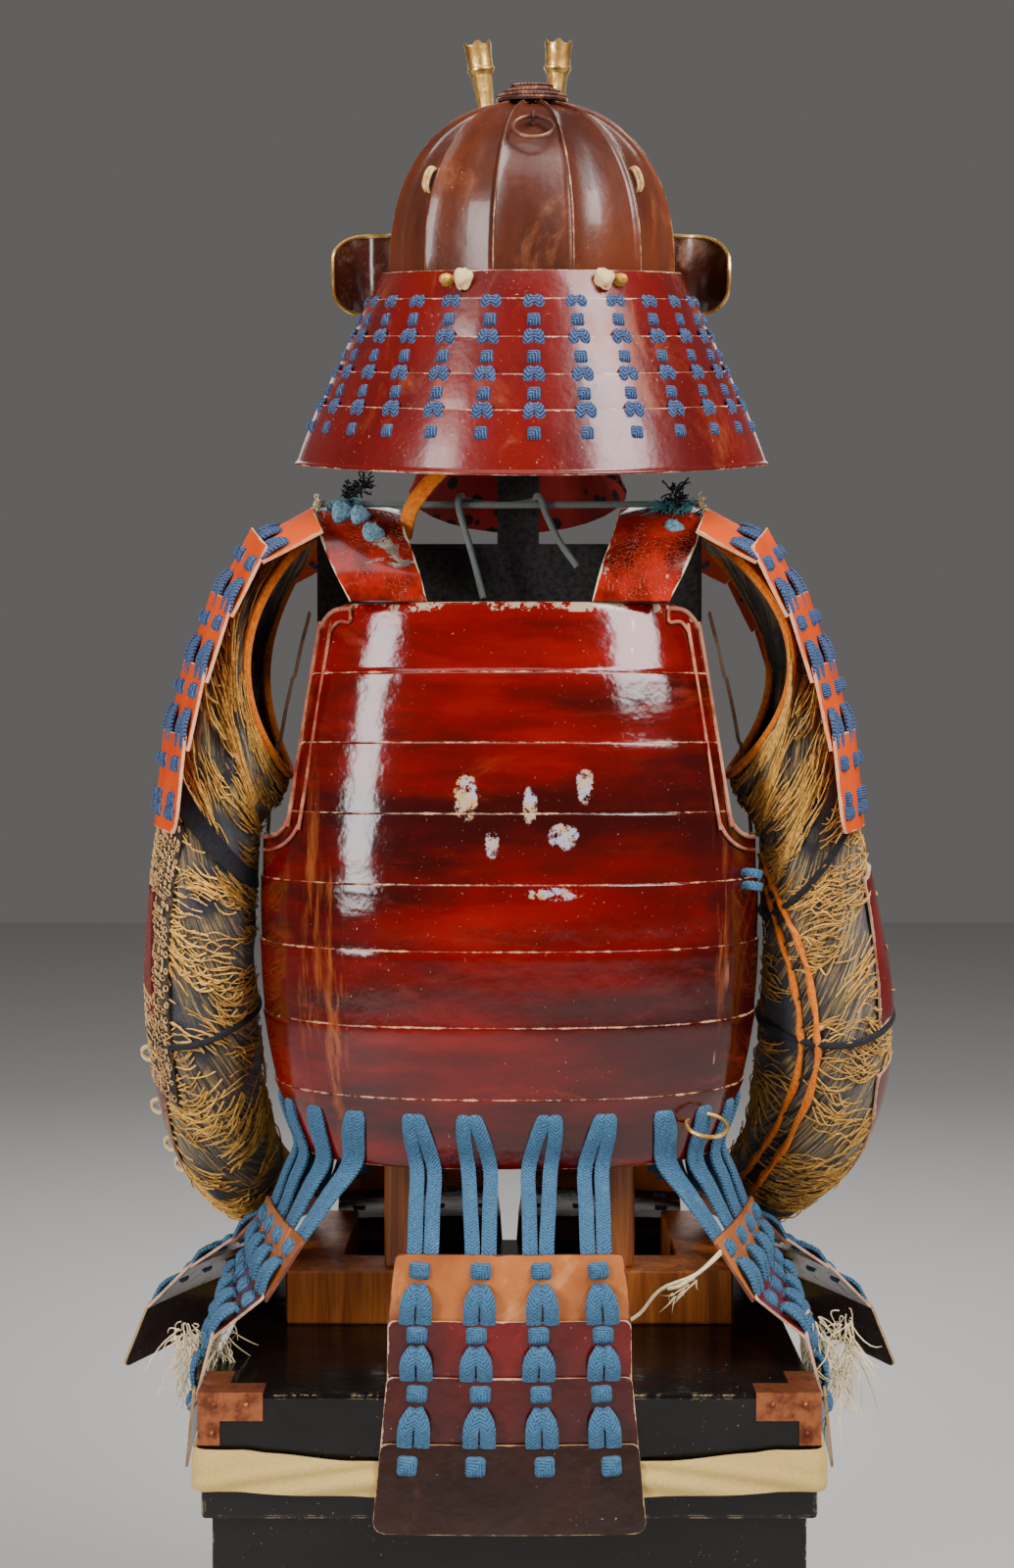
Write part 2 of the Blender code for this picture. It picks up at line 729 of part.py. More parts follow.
def ring_frame():
    """The staple's eye and the directions out of the bowl and down along it there."""
    surface = bowl_point(0, RING_LIFT)
    above = bowl_point(0, RING_LIFT + 1)
    below = bowl_point(0, RING_LIFT - 1)
    down = (below - above).normalized()
    out = Vector((1, 0, 0)).cross(down).normalized()
    if out.z < 0:
        out.negate()
    return surface, out, down


def build_ring():
    """A free ring hung in a staple at the back of the bowl. The ring's origin is on the staple's eye."""
    surface, out, down = ring_frame()
    eye = surface + out * RING_EYE_OUT
    wire = 0.0013
    loop = []
    for k in range(9):
        a = math.radians(mix(-20, 200, k / 8))
        loop.append(surface + out * (0.0046 + 0.0032 * math.sin(a)) + down * (0.0032 * math.cos(a)))
    leg = 0.0032
    line = [loop[0] - out * leg, *loop, loop[-1] - out * leg]
    staple = tube("helmet_ring_staple", line, wire, "iron", sides=1, parent=HELMET)
    staple.data.use_fill_caps = True

    bpy.ops.mesh.primitive_torus_add(
        major_segments=28, minor_segments=8, major_radius=RING_RADIUS, minor_radius=RING_WIRE
    )
    ring = bpy.context.active_object
    for collection in ring.users_collection:
        collection.objects.unlink(ring)
    ring.name = "helmet_ring"
    ring.data.name = "helmet_ring"
    ring.data.materials.append(material("iron"))
    ring.data.shade_smooth()
    across = Vector((1, 0, 0))
    for vert in ring.data.vertices:
        x, y, z = vert.co
        vert.co = across * x + down * (RING_RADIUS - y) + out * z
    ring.location = eye
    ring.parent = HELMET
    ARMOUR.objects.link(ring)


def neck_guard_row(t):
    return between(NECK_GUARD_ROWS, t)


def neck_guard_point(t, across, out=0.0):
    """A point on the neck guard: t lames down from the rim, across from -1 at its left end to 1."""
    drop, half_width, back, end = neck_guard_row(t)
    a = math.radians(end * across)
    depth = back if math.cos(a) >= 0 else half_width
    droop = NECK_GUARD_END_DROOP * across**4 * t / (len(NECK_GUARD_ROWS) - 1)
    return Vector(((half_width + out) * math.sin(a), -(depth + out) * math.cos(a), -drop - droop))


def build_neck_guard():
    """Five lames, each outside the lower edge of the one above."""
    columns = 22
    lap = NECK_LAME_LAP / 0.0285
    clear = NECK_LAME_WALL + 2 * GAP
    for lame in range(5):
        top = lame - (lap if lame else 0)
        rise = clear if lame else 0

        def surface(column, row):
            across = 2 * column / columns - 1
            t = mix(top, lame + 1, row / 2)
            return neck_guard_point(t, across, out=rise * (1 - row / 2) * 1.25 + 0.0002)

        wall(
            f"neck_guard_lame_{lame + 1}",
            surface,
            columns,
            2,
            NECK_LAME_WALL,
            "red_lacquer",
            (0, 0, 0.02),
            parent=HELMET,
        )


TURNBACK_PLAN_COLUMNS = ("x", "y")
TURNBACK_PLAN = (
    (0.1016, 0.0457),
    (0.1110, 0.0660),
    (0.1240, 0.0780),
    (0.1380, 0.0770),
    (0.1480, 0.0680),
    (0.1530, 0.0560),
)


def build_turnbacks():
    """The ears that turn out and back from the front ends of the neck guard's first lame."""
    columns, rows = 8, 6
    low, high = -0.030, 0.030

    for side, sign in (("left", -1), ("right", 1)):

        def surface(column, row):
            t = column / columns
            x, y = between(TURNBACK_PLAN, t * (len(TURNBACK_PLAN) - 1))
            height = 1 - 0.55 * max(0, t - 0.45) ** 2 / 0.3025
            up = 2 * row / rows - 1
            z = (low + high) / 2 + up * (high - low) / 2 * height
            return Vector((sign * x, y + 0.004 * up * up, z))

        name = f"turnback_{side}"
        wall(name, surface, columns, rows, 0.0018, "brown_lacquer", (0, 0.2, 0), parent=HELMET)


def build_visor():
    columns, rows = 12, 2

    def surface(column, row):
        angle = mix(128, 232, column / columns)
        reach = row / rows
        lip = math.sin(math.pi * column / columns) ** 0.6
        point = bowl_point(angle, 0, out=0.0032 + 0.036 * reach * lip)
        point.z = -0.004 - 0.020 * reach * lip + 0.003
        return point

    wall("helmet_visor", surface, columns, rows, 0.0018, "brown_lacquer", (0, 0, -1), parent=HELMET)


CREST_STEM_COLUMNS = ("height", "radius")
CREST_STEM_ROWS = (
    (0.0, 0.0050),
    (0.055, 0.0052),
    (0.098, 0.0062),
    (0.126, 0.0085),
    (0.130, 0.0094),
    (0.143, 0.0094),
)


def build_crest():
    """Two gilt stems with notched cups, on a plate that stands in the front of the visor."""
    foot_y = bowl_point(180, 0).y + 0.013
    low, high = (-0.026, foot_y - 0.0012, -0.0052), (0.026, foot_y + 0.0012, 0.048)
    crest = box("helmet_crest", low, high, "gilt", HELMET)
    for sign in (-1, 1):
        profile = [(r, h) for h, r in reversed(CREST_STEM_ROWS)]
        stem = turned(f"crest_stem_{sign}", profile, 12, "gilt", HELMET)
        close_turned(stem)
        stem.location = (sign * 0.019 - 0.002, foot_y, 0.030)
        stem.rotation_euler = (math.radians(-2), math.radians(sign * 5 - 3), 0)
        boolean(crest, stem, "UNION")


def close_turned(obj):
    """Adds the profile's two end points on the axis, so that the turned shape is closed."""
    mesh = obj.data
    bm = bmesh.new()
    bm.from_mesh(mesh)
    bm.verts.ensure_lookup_table()
    first, last = bm.verts[0], bm.verts[len(bm.verts) - 1]
    top = bm.verts.new((0, 0, first.co.z))
    bottom = bm.verts.new((0, 0, last.co.z))
    bm.edges.new((top, first))
    bm.edges.new((last, bottom))
    bm.to_mesh(mesh)
    bm.free()


def build_helmet():
    build_bowl()
    build_crown()
    build_ring()
    build_neck_guard()
    build_turnbacks()
    build_visor()
    build_crest()


def build_throat_guard():
    """A collar with a tall flared front, hung round the neck post by the band at its back."""
    columns, rows = 28, 3
    centre = (HELMET_AT[0] - 0.010, 0.030)
    top = 1.128

    def surface(column, row):
        a = 2 * math.pi * column / columns
        front = 0.5 - 0.5 * math.cos(a)
        height = mix(0.009, 0.044, front**1.5)
        down = row / rows
        reach_y = mix(0.0385, 0.066, front)
        flare = 0.018 * down * front
        x = centre[0] + (0.074 + flare) * math.sin(a)
        y = centre[1] - (reach_y + flare) * math.cos(a)
        return Vector((x, y, top - height * down))

    wall("throat_guard", surface, columns, rows, 0.002, "red_lacquer", (*centre, top), closed=True)


# Shoulder guards and sleeves


def shoulder_guard_out(row):
    """The outward direction at a row, halfway between those of the lines on each side of it."""
    line = SHOULDER_GUARD_ROWS
    (x0, z0), (x1, z1) = line[max(row - 1, 0)], line[min(row + 1, len(line) - 1)]
    return Vector((z0 - z1, 0, x1 - x0)).normalized()


def build_shoulder_guards():
    """Five lames on each arm, each outside the lower edge of the one above."""
    columns, rows = 8, 1
    line = SHOULDER_GUARD_ROWS
    for side, sign in (("left", -1), ("right", 1)):
        for lame in range(5):
            (x0, z0), (x1, z1) = line[lame], line[lame + 1]
            along = Vector((x1 - x0, 0, z1 - z0))
            length = along.length
            along.normalize()
            start = SHOULDER_GUARD_LAP if lame else 0

            def surface(column, row):
                across = 2 * column / columns - 1
                rise = (SHOULDER_GUARD_WALL + 2 * GAP) * 1.25 if lame and not row else 0
                out = shoulder_guard_out(lame + row)
                width = SHOULDER_GUARD_WIDTH * (0.92 + 0.08 * (lame + row) / 5)
                point = Vector((x0, 0.004, z0)) + along * mix(-start, length, row / rows)
                point += out * (rise - SHOULDER_GUARD_BEND * across * across)
                point.y += across * width / 2
                point.x *= sign
                return point

            wall(
                f"shoulder_guard_{side}_lame_{lame + 1}",
                surface,
                columns,
                rows,
                SHOULDER_GUARD_WALL,
                "orange_lacquer",
                (0, 0, 0.8),
            )


def sleeve_point(sign, t, angle, out=0.0):
    """A point on a sleeve: t rings down, and degrees round from its inner side over the back."""
    inner_x, inner_z, outer_x, outer_z, middle_y, swing, half_depth = between(SLEEVE_ROWS, t)
    s = math.radians(swing)
    below_guard = max(t - 5, 0) / (len(SLEEVE_ROWS) - 6)
    fuller = SLEEVE_FULLNESS[sign] * math.sin(math.pi * below_guard) ** 2
    inner = Vector((inner_x, middle_y, inner_z))
    outer = Vector((outer_x + fuller, middle_y, outer_z))
    centre = (inner + outer) / 2
    reach = (outer - inner) / 2
    depth = Vector((0, -math.cos(s), -math.sin(s))) * half_depth
    a = math.radians(angle)
    pucker = SLEEVE_PUCKER * math.sin(SLEEVE_PUCKERS * a + 1.7 * t) * min(t, 3) / 3
    grow = 1 + (out + pucker) / half_depth
    point = centre + (-reach * math.cos(a) + depth * math.sin(a)) * grow
    point.x *= sign
    return point


def build_sleeves():
    columns, rows = SLEEVE_SIDES, SLEEVE_RINGS
    last = len(SLEEVE_ROWS) - 1
    for side, sign in (("left", -1), ("right", 1)):

        def surface(column, row):
            return sleeve_point(sign, row / rows * last, 360 * column / columns)

        middle = (sign * 0.225, 0.03, 0.78)
        wall(f"sleeve_{side}", surface, columns, rows, SLEEVE_WALL, "brocade", middle, closed=True)
        build_sleeve_plates(side, sign)


def build_sleeve_plates(side, sign):
    """The plates sewn on a sleeve, which repeat its own facets moved out, and the hand guard."""
    seat = 0.0028
    last = len(SLEEVE_ROWS) - 1

    def plate(name, first_row, last_row, first_column, last_column, thickness):
        columns, rows = last_column - first_column, last_row - first_row

        def surface(column, row):
            t = (first_row + row) / SLEEVE_RINGS * last
            return sleeve_point(sign, t, 360 * (first_column + column) / SLEEVE_SIDES, seat)

        t = (first_row + last_row) / 2 / SLEEVE_RINGS * last
        middle = sleeve_point(sign, t, 180 * (first_column + last_column) / SLEEVE_SIDES, -0.05)
        wall(name, surface, columns, rows, thickness, "red_lacquer", middle)

    plate(f"elbow_plate_{side}", 9, 12, 6, 9, 0.0016)
    plate(f"forearm_plate_{side}", 13, 18, 6, 10, 0.0016)

    def hand(column, row):
        down = row / 5
        across = column / 2.5 - 1
        angle = 360 * (7 + column) / SLEEVE_SIDES
        start = sleeve_point(sign, last, mix(angle, 213.75, 0.35 * down**3), seat)
        return start + Vector((-sign * 0.012 * down, 0.080 * down, -0.016 * down - 0.004 * down * across**2))

    middle = sleeve_point(sign, last, 213.75, -0.06)
    wall(f"hand_guard_{side}", hand, 5, 5, 0.0018, "red_lacquer", middle + Vector((0, 0.04, 0)))


# Tassets


def tasset_point(side, row, across, inward=0.0):
    """A point on the outer face of a tasset, across from -1 to 1, or further in."""
    x, y, z, faces, half_width = row
    a = math.radians(faces)
    out = Vector((math.sin(a), -math.cos(a), 0))
    sideways = Vector((math.cos(a), math.sin(a), 0))
    point = Vector((x, y, z)) + sideways * (across * half_width)
    point -= out * (TASSET_BOW * across * across + inward)
    point.x *= side
    return point


def build_tasset(name, edges, side, cords_from, cords_to):
    """Four lames, one outside the other, hung from the hem of the cuirass on four pairs of flat cords."""
    rows = [(edges[0], 0.0)]
    for edge in edges[1:]:
        above = rows[-1][0]
        ahead = tuple(mix(a, b, 0.985) for a, b in zip(above, edge))
        rows += [(ahead, TASSET_LAP), (edge, 0.0)]
    rows.pop()
    columns = 4

    def surface(column, row):
        edge, inward = rows[row]
        return tasset_point(side, edge, 2 * column / columns - 1, inward)

    inside = tasset_point(side, edges[2], 0, 0.4)
    piece = wall(f"tasset_{name}", surface, columns, len(rows) - 1, TASSET_WALL, "brown_lacquer", inside)
    strands = bmesh.new()
    for pair in range(CORD_PAIRS):
        t = pair / (CORD_PAIRS - 1)
        add_strand(strands, edges, side, mix(cords_from, cords_to, t), (2 * t - 1) * 0.76)
    boolean(piece, add(f"tasset_{name}_cords", mesh_from(strands), "blue_cord"), "UNION")


def add_strand(bm, edges, side, angle, place):
    """A pair of flat cords, side by side, from the outer face of the hem to inside the first lame."""
    centre_out = GAP + CORD_THICKNESS / 2 + PLATE_LAP
    upper, lower = edges[0], edges[1]

    def at_hem(degrees, z):
        point = cuirass_point(degrees, z, centre_out)
        point.x *= side
        return point

    first = at_hem(angle, CORD_START_Z)
    second = at_hem(angle, CUIRASS_ROWS[-1][0])
    behind = TASSET_WALL + CORD_THICKNESS / 2
    fourth = tasset_point(side, upper, place, behind + 0.0008) + Vector((0, 0, 0.003))
    start = tasset_point(side, upper, place, behind - 0.0016)
    fifth = start + (tasset_point(side, lower, place, behind - 0.0016) - start) * 0.36
    third = (second + fourth) / 2
    line = (first, second, third, fourth, fifth)
    round_hem = (at_hem(angle + 1, CORD_START_Z) - at_hem(angle - 1, CORD_START_Z)).normalized()
    sideways = (tasset_point(side, upper, place + 0.1) - tasset_point(side, upper, place - 0.1)).normalized()
    sides = (round_hem, round_hem, (round_hem + sideways).normalized(), sideways, sideways)
    rings = []
    for k, point in enumerate(line):
        ahead = (line[min(k + 1, len(line) - 1)] - line[max(k - 1, 0)]).normalized()
        normal = sides[k].cross(ahead).normalized()
        wide, thick = ahead.cross(normal) * CORD_WIDTH / 2, normal * CORD_THICKNESS / 2
        corners = (wide + thick, wide - thick, -wide - thick, -wide + thick)
        rings.append([bm.verts.new(point + corner) for corner in corners])
    faces = [bm.faces.new(rings[0]), bm.faces.new(rings[-1][::-1])]
    for top, bottom in zip(rings, rings[1:]):
        for k in range(4):
            faces.append(bm.faces.new((top[k], top[k - 1], bottom[k - 1])))
            faces.append(bm.faces.new((top[k], bottom[k - 1], bottom[k])))
    bmesh.ops.recalc_face_normals(bm, faces=faces)


# Thigh guards, belt and cords


def chest_stations(stops):
    """Lengths round one half of the lid, from the middle of its front to the middle of its back.

    Each of the five runs, which are straight, corner, straight, corner and straight, is cut into so
    many stops.
    """
    quarter = math.pi / 2 * CHEST_CORNER
    across = LID_WIDTH / 2 - CHEST_CORNER
    runs = (across, quarter, LID_FRONT - LID_BACK - 2 * CHEST_CORNER, quarter, across)
    lengths = [0.0]
    for run, count in zip(runs, stops):
        start = lengths[-1]
        lengths += [start + run * (k + 1) / count for k in range(count)]
    return lengths


def chest_line(length, out):
    """The point so far round the lid from the middle of its front, and out from its side."""
    bend = CHEST_CORNER
    half_x = LID_WIDTH / 2 - bend
    front, back = LID_FRONT - bend, LID_BACK + bend
    quarter = math.pi / 2 * bend
    if length <= half_x:
        return Vector((length, front + bend + out, 0))
    length -= half_x
    if length <= quarter:
        a = length / bend
        return Vector((half_x + (bend + out) * math.sin(a), front + (bend + out) * math.cos(a), 0))
    length -= quarter
    if length <= front - back:
        return Vector((half_x + bend + out, front - length, 0))
    length -= front - back
    if length <= quarter:
        a = length / bend
        return Vector((half_x + (bend + out) * math.cos(a), back - (bend + out) * math.sin(a), 0))
    return Vector((half_x - (length - quarter), back - bend - out, 0))


def build_thigh_guards():
    """An apron of cloth and mail on each thigh, hung round the front corners of the chest."""
    stations = [x for x in chest_stations((7, 4, 13, 1, 1)) if 0.01 < x < 0.45]
    columns, rows = len(stations) - 1, 5
    for side, sign in (("left", -1), ("right", 1)):

        def surface(column, row):
            down = row / rows
            along = column / columns
            wave = 0.004 * down * math.sin(5.2 * math.pi * along)
            flare = 0.030 * down**1.2 * along**1.5
            point = chest_line(stations[column], 0.0039 + flare + wave + 0.006 * down)
            level = mix(THIGH_GUARD_TOP, THIGH_GUARD_BOTTOM, down)
            point.z = level + 0.010 * down * math.cos(math.pi * along)
            point.x *= sign
            return point

        middle = (sign * 0.15, 0.035, 0.25)
        wall(f"thigh_guard_{side}", surface, columns, rows, THIGH_GUARD_WALL, "mail_cloth", middle)


def build_belt():
    """The cloth belt round the lid, sagging a little across the back."""
    half = chest_stations((3, 3, 4, 3, 5))
    whole = half[-1]
    stations = half + [2 * whole - x for x in reversed(half[:-1])]
    columns, rows = len(stations) - 1, 2

    def surface(column, row):
        length = stations[column]
        sign = 1 if length <= whole else -1
        length = min(length, 2 * whole - length)
        point = chest_line(length, BELT_THICKNESS + 0.0012)
        at_back = max(0.0, (length / whole - 0.78) / 0.22)
        point.z = 0.430 - 0.0105 * at_back**0.8 + BELT_HEIGHT * (1 - 0.36 * at_back) * (0.5 - row / rows)
        point.x *= sign
        return point

    middle = (0, 0.035, 0.43)
    wall("thigh_guard_belt", surface, columns, rows, BELT_THICKNESS, "belt_cloth", middle, closed=True)


def build_cords():
    """The cord stretched between the shoulder straps, and one laid over it with both ends hanging."""
    radius = 0.0024
    y = -0.035
    count = 12
    main = []
    for k in range(count + 1):
        t = 2 * k / count - 1
        main.append((0.142 * t, y, 1.0895 - 0.001 * (1 - t * t)))
    tube("shoulder_cord", main, radius, "green_cord", sides=1)

    front = y - 0.0068
    tie = [
        (-0.019, front - 0.003, 1.020),
        (-0.027, front - 0.001, 1.052),
        (-0.036, front, 1.082),
        (-0.037, front, 1.0912),
        (-0.035, y, 1.0950),
        (-0.031, y + 0.0062, 1.0920),
        (-0.006, y + 0.0056, 1.0890),
        (0.016, y + 0.0062, 1.0915),
        (0.020, y, 1.0950),
        (0.023, front, 1.0912),
        (0.027, front, 1.080),
        (0.037, front - 0.001, 1.060),
        (0.049, front - 0.002, 1.043),
    ]
    tube("hanging_cord", tie, radius, "green_cord", sides=1)


build_chest()
build_stand()
build_cuirass()
build_helmet()
build_throat_guard()
build_shoulder_guards()
build_sleeves()
for tasset in TASSETS:
    build_tasset(*tasset)
build_thigh_guards()
build_belt()
build_cords()
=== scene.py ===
"""The samurai armour dressed and lit as in the photograph, over the frame made in CAD.

Shapes are worked out in the armour's own frame, as in the part: +X is the wearer's right, -Y is out of
the armour's back and z is the height above the floor. Pieces of the helmet are in the helmet's frame.
"""

import random
from math import asin, atan, copysign, cos, degrees, pi, radians, sin, sqrt

import bmesh
import bpy
import numpy as np
from mathutils import Matrix, Vector


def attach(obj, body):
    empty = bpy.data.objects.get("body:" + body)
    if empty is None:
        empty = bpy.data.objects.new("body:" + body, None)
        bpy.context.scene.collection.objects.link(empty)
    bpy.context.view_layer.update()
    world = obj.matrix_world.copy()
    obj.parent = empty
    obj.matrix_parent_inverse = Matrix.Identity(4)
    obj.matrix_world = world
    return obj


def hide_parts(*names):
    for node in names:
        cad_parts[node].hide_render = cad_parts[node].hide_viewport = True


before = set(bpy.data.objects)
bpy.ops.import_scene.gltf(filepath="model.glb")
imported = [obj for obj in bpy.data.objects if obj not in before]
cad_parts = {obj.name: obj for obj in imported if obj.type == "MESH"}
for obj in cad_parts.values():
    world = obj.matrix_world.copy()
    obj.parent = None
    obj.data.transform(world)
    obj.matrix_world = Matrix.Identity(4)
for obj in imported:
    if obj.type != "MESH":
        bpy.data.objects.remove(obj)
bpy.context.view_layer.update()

# The whole object is slid along Y by this much, so that the origin is under its middle.
SLIDE_Y = -0.0411

GAP = 0.0003  # clearance between pieces that touch
SIDES = (("left", -1), ("right", 1))  # the wearer's sides, and which way each is along X

# Chest: a box with a lid that fits over it
LID_WIDTH = 0.414
LID_BACK, LID_FRONT = -0.165, 0.235
LID_TOP = 0.480

# Cuirass: one row for each edge between the horizontal plates, from the top edge to the hem
# Columns: z, half_width, back_depth, front_depth
CUIRASS_ROWS = (
    (1.014, 0.150, 0.093, 0.098),
    (0.965, 0.163, 0.106, 0.112),
    (0.916, 0.174, 0.115, 0.122),
    (0.867, 0.181, 0.121, 0.128),
    (0.818, 0.184, 0.124, 0.130),
    (0.772, 0.185, 0.124, 0.130),
    (0.719, 0.183, 0.121, 0.127),
    (0.668, 0.175, 0.114, 0.120),
    (0.617, 0.157, 0.102, 0.109),
)
CUIRASS_SQUARENESS = 2.5
CUIRASS_WALL = 0.0028
PLATE_LAP = 0.0012  # each plate's upper edge stands this far outside the plate above
SEAM_Y = 0.010

# Helmet, in a frame of its own at the middle of the bowl's rim, tipped back on the head post
HELMET_AT = (0.0165, 0.0, 1.264)
HELMET_TILT = radians(12)
BOWL_HALF_WIDTH, BOWL_BACK, BOWL_FRONT, BOWL_HEIGHT = 0.1050, 0.118, 0.113, 0.1195
BOWL_SQUARENESS = 2.27
BOWL_PLATES = 12
BOWL_WALL = 0.0025
BOWL_SKIRT = 0.006
CROWN_HOLE_LIFT = 84.0  # degrees up the bowl at which the hole in its top starts

# Neck guard: one row for each edge, measured from the rim down, at the height that shows
# Columns: drop, half_width, back_depth, end_angle
NECK_GUARD_ROWS = (
    (0.000, 0.1106, 0.1230, 114.0),
    (0.0255, 0.1225, 0.1347, 112.0),
    (0.0500, 0.1345, 0.1465, 109.0),
    (0.0745, 0.1475, 0.1595, 106.0),
    (0.0985, 0.1600, 0.1720, 103.0),
    (0.1340, 0.1775, 0.1890, 99.0),
)
NECK_LAME_WALL = 0.0018
NECK_LAME_LAP = 0.007
NECK_GUARD_END_DROOP = 0.010

# Shoulder guards: the line down the middle of the outer face, one row for each lame's upper edge
# Columns: x, z
SHOULDER_GUARD_ROWS = (
    (0.1456, 1.0906),
    (0.194, 1.0640),
    (0.222, 1.0170),
    (0.241, 0.9670),
    (0.255, 0.9160),
    (0.264, 0.8560),
)
SHOULDER_GUARD_WIDTH = 0.205
SHOULDER_GUARD_BEND = 0.030
SHOULDER_GUARD_WALL = 0.0022
SHOULDER_GUARD_LAP = 0.010

# Sleeves: one row for each ring of cloth, from the shoulder to the wrist. A ring runs from an inner
# point, beside the cuirass, to an outer point, and swing turns it from level towards the forearm.
# Columns: inner_x, inner_z, outer_x, outer_z, middle_y, swing, half_depth
SLEEVE_ROWS = (
    (0.1640, 0.892, 0.1450, 1.068, 0.000, 0, 0.058),
    (0.1695, 0.878, 0.1820, 1.045, 0.000, 0, 0.060),
    (0.1785, 0.865, 0.2100, 1.008, 0.000, 0, 0.060),
    (0.1865, 0.850, 0.2300, 0.965, 0.000, 0, 0.060),
    (0.1900, 0.832, 0.2430, 0.922, 0.000, 0, 0.060),
    (0.1910, 0.810, 0.2515, 0.880, 0.000, 0, 0.059),
    (0.1915, 0.785, 0.2620, 0.838, 0.000, 2, 0.058),
    (0.1920, 0.755, 0.2700, 0.790, 0.002, 5, 0.057),
    (0.1920, 0.720, 0.2745, 0.738, 0.006, 12, 0.057),
    (0.1910, 0.685, 0.2740, 0.692, 0.016, 25, 0.056),
    (0.1890, 0.645, 0.2710, 0.647, 0.036, 40, 0.052),
    (0.1870, 0.610, 0.2640, 0.612, 0.062, 50, 0.047),
    (0.1840, 0.582, 0.2540, 0.584, 0.092, 55, 0.042),
    (0.1810, 0.562, 0.2440, 0.564, 0.122, 57, 0.037),
    (0.1780, 0.547, 0.2340, 0.549, 0.150, 57, 0.033),
)
# How much further out the sleeve on each side is filled, halfway down
SLEEVE_FULLNESS = {-1: -0.006, 1: 0.012}
SLEEVE_SIDES, SLEEVE_RINGS = 16, 20
SLEEVE_PUCKERS = 4
SLEEVE_PUCKER = 0.0012

# Tassets: one row for each edge between the lames, from the top, down the middle of the outer face.
# Each faces so many degrees round from the back, towards +X.
# Columns: x, y, z, faces, half_width
TASSET_BACK = (
    (0.000, -0.1630, 0.573, 0, 0.0765),
    (0.000, -0.1665, 0.529, 0, 0.0815),
    (0.000, -0.1700, 0.492, 0, 0.0820),
    (0.000, -0.1750, 0.449, 0, 0.0860),
    (0.000, -0.1810, 0.391, 0, 0.0915),
)
TASSET_BACK_SIDE = (
    (0.166, -0.054, 0.572, 72, 0.069),
    (0.188, -0.050, 0.533, 78, 0.072),
    (0.215, -0.045, 0.506, 86, 0.074),
    (0.2260, -0.040, 0.466, 88, 0.076),
    (0.2315, -0.037, 0.410, 88, 0.080),
)
TASSET_FRONT_SIDE = (
    (0.160, 0.070, 0.567, 118, 0.050),
    (0.192, 0.090, 0.532, 118, 0.055),
    (0.223, 0.108, 0.509, 118, 0.062),
    (0.254, 0.124, 0.476, 118, 0.070),
    (0.272, 0.134, 0.423, 118, 0.078),
)
TASSET_FRONT = (
    (0.076, 0.135, 0.572, 170, 0.064),
    (0.077, 0.166, 0.545, 172, 0.066),
    (0.078, 0.197, 0.528, 174, 0.068),
    (0.079, 0.236, 0.504, 176, 0.071),
    (0.079, 0.263, 0.455, 178, 0.074),
)
# Each tasset's rows, the side it is on and the cuirass angles of its outermost cord pairs
TASSETS = (
    ("back", TASSET_BACK, 1, -18, 18),
    ("back_left", TASSET_BACK_SIDE, -1, 34, 82),
    ("back_right", TASSET_BACK_SIDE, 1, 34, 82),
    ("side_left", TASSET_FRONT_SIDE, -1, 97, 135),
    ("side_right", TASSET_FRONT_SIDE, 1, 97, 135),
    ("front_left", TASSET_FRONT, -1, 145, 174),
    ("front_right", TASSET_FRONT, 1, 145, 174),
)
TASSET_WALL = 0.0024
TASSET_LAP = 0.0026
TASSET_BOW = 0.003
CORD_PAIRS = 4
CORD_START_Z = 0.656

# Thigh guards and the cloth belt that ties them round the chest
THIGH_GUARD_TOP, THIGH_GUARD_BOTTOM = 0.414, 0.085
BELT_HEIGHT, BELT_THICKNESS = 0.028, 0.0035
CHEST_CORNER = 0.004
# Columns: inner_x, outer_x, y, z
STRAP_ROWS = (
    (0.058, 0.112, -0.0915, 1.0150),
    (0.064, 0.124, -0.0840, 1.0380),
    (0.074, 0.136, -0.0640, 1.0650),
    (0.080, 0.142, -0.0320, 1.0840),
    (0.082, 0.143, 0.0020, 1.0872),
    (0.082, 0.141, 0.0350, 1.0860),
    (0.082, 0.134, 0.0620, 1.0700),
    (0.085, 0.122, 0.0820, 1.0420),
    (0.087, 0.112, 0.0850, 1.0160),
)
STRAP_WALL, STRAP_CROWN = 0.0028, 0.004

RIB_HEIGHT = 0.0024
CORD_RADIUS, CORD_Y = 0.0024, -0.035
BACK_ARMHOLE = (0.137, 0.155, 0.848, 1.0145)
FRONT_ARMHOLE = (0.118, 0.148, 0.846, 1.020)
TURNBACK_PLAN = (
    (0.1016, 0.0457),
    (0.1110, 0.0660),
    (0.1240, 0.0780),
    (0.1380, 0.0770),
    (0.1480, 0.0680),
    (0.1530, 0.0560),
)

# The photograph: its size, where its eye level and middle fall, and the lens in pixels
PHOTO_WIDTH, PHOTO_HEIGHT = 1035, 1600
FOCAL_PIXELS, HORIZON_Y, PRINCIPAL_X = 1976, 750, 520
CAMERA_DISTANCE, CAMERA_HEIGHT = 1.45, 0.921

SENSOR_WIDTH = 36  # of the camera, in millimetres

# The studio: half the floor's side, its colour and roughness, and how bright the world is
FLOOR_REACH, STUDIO_GREY, FLOOR_ROUGHNESS, WORLD_STRENGTH = 8, (0.62, 0.60, 0.58), 0.75, 0.20
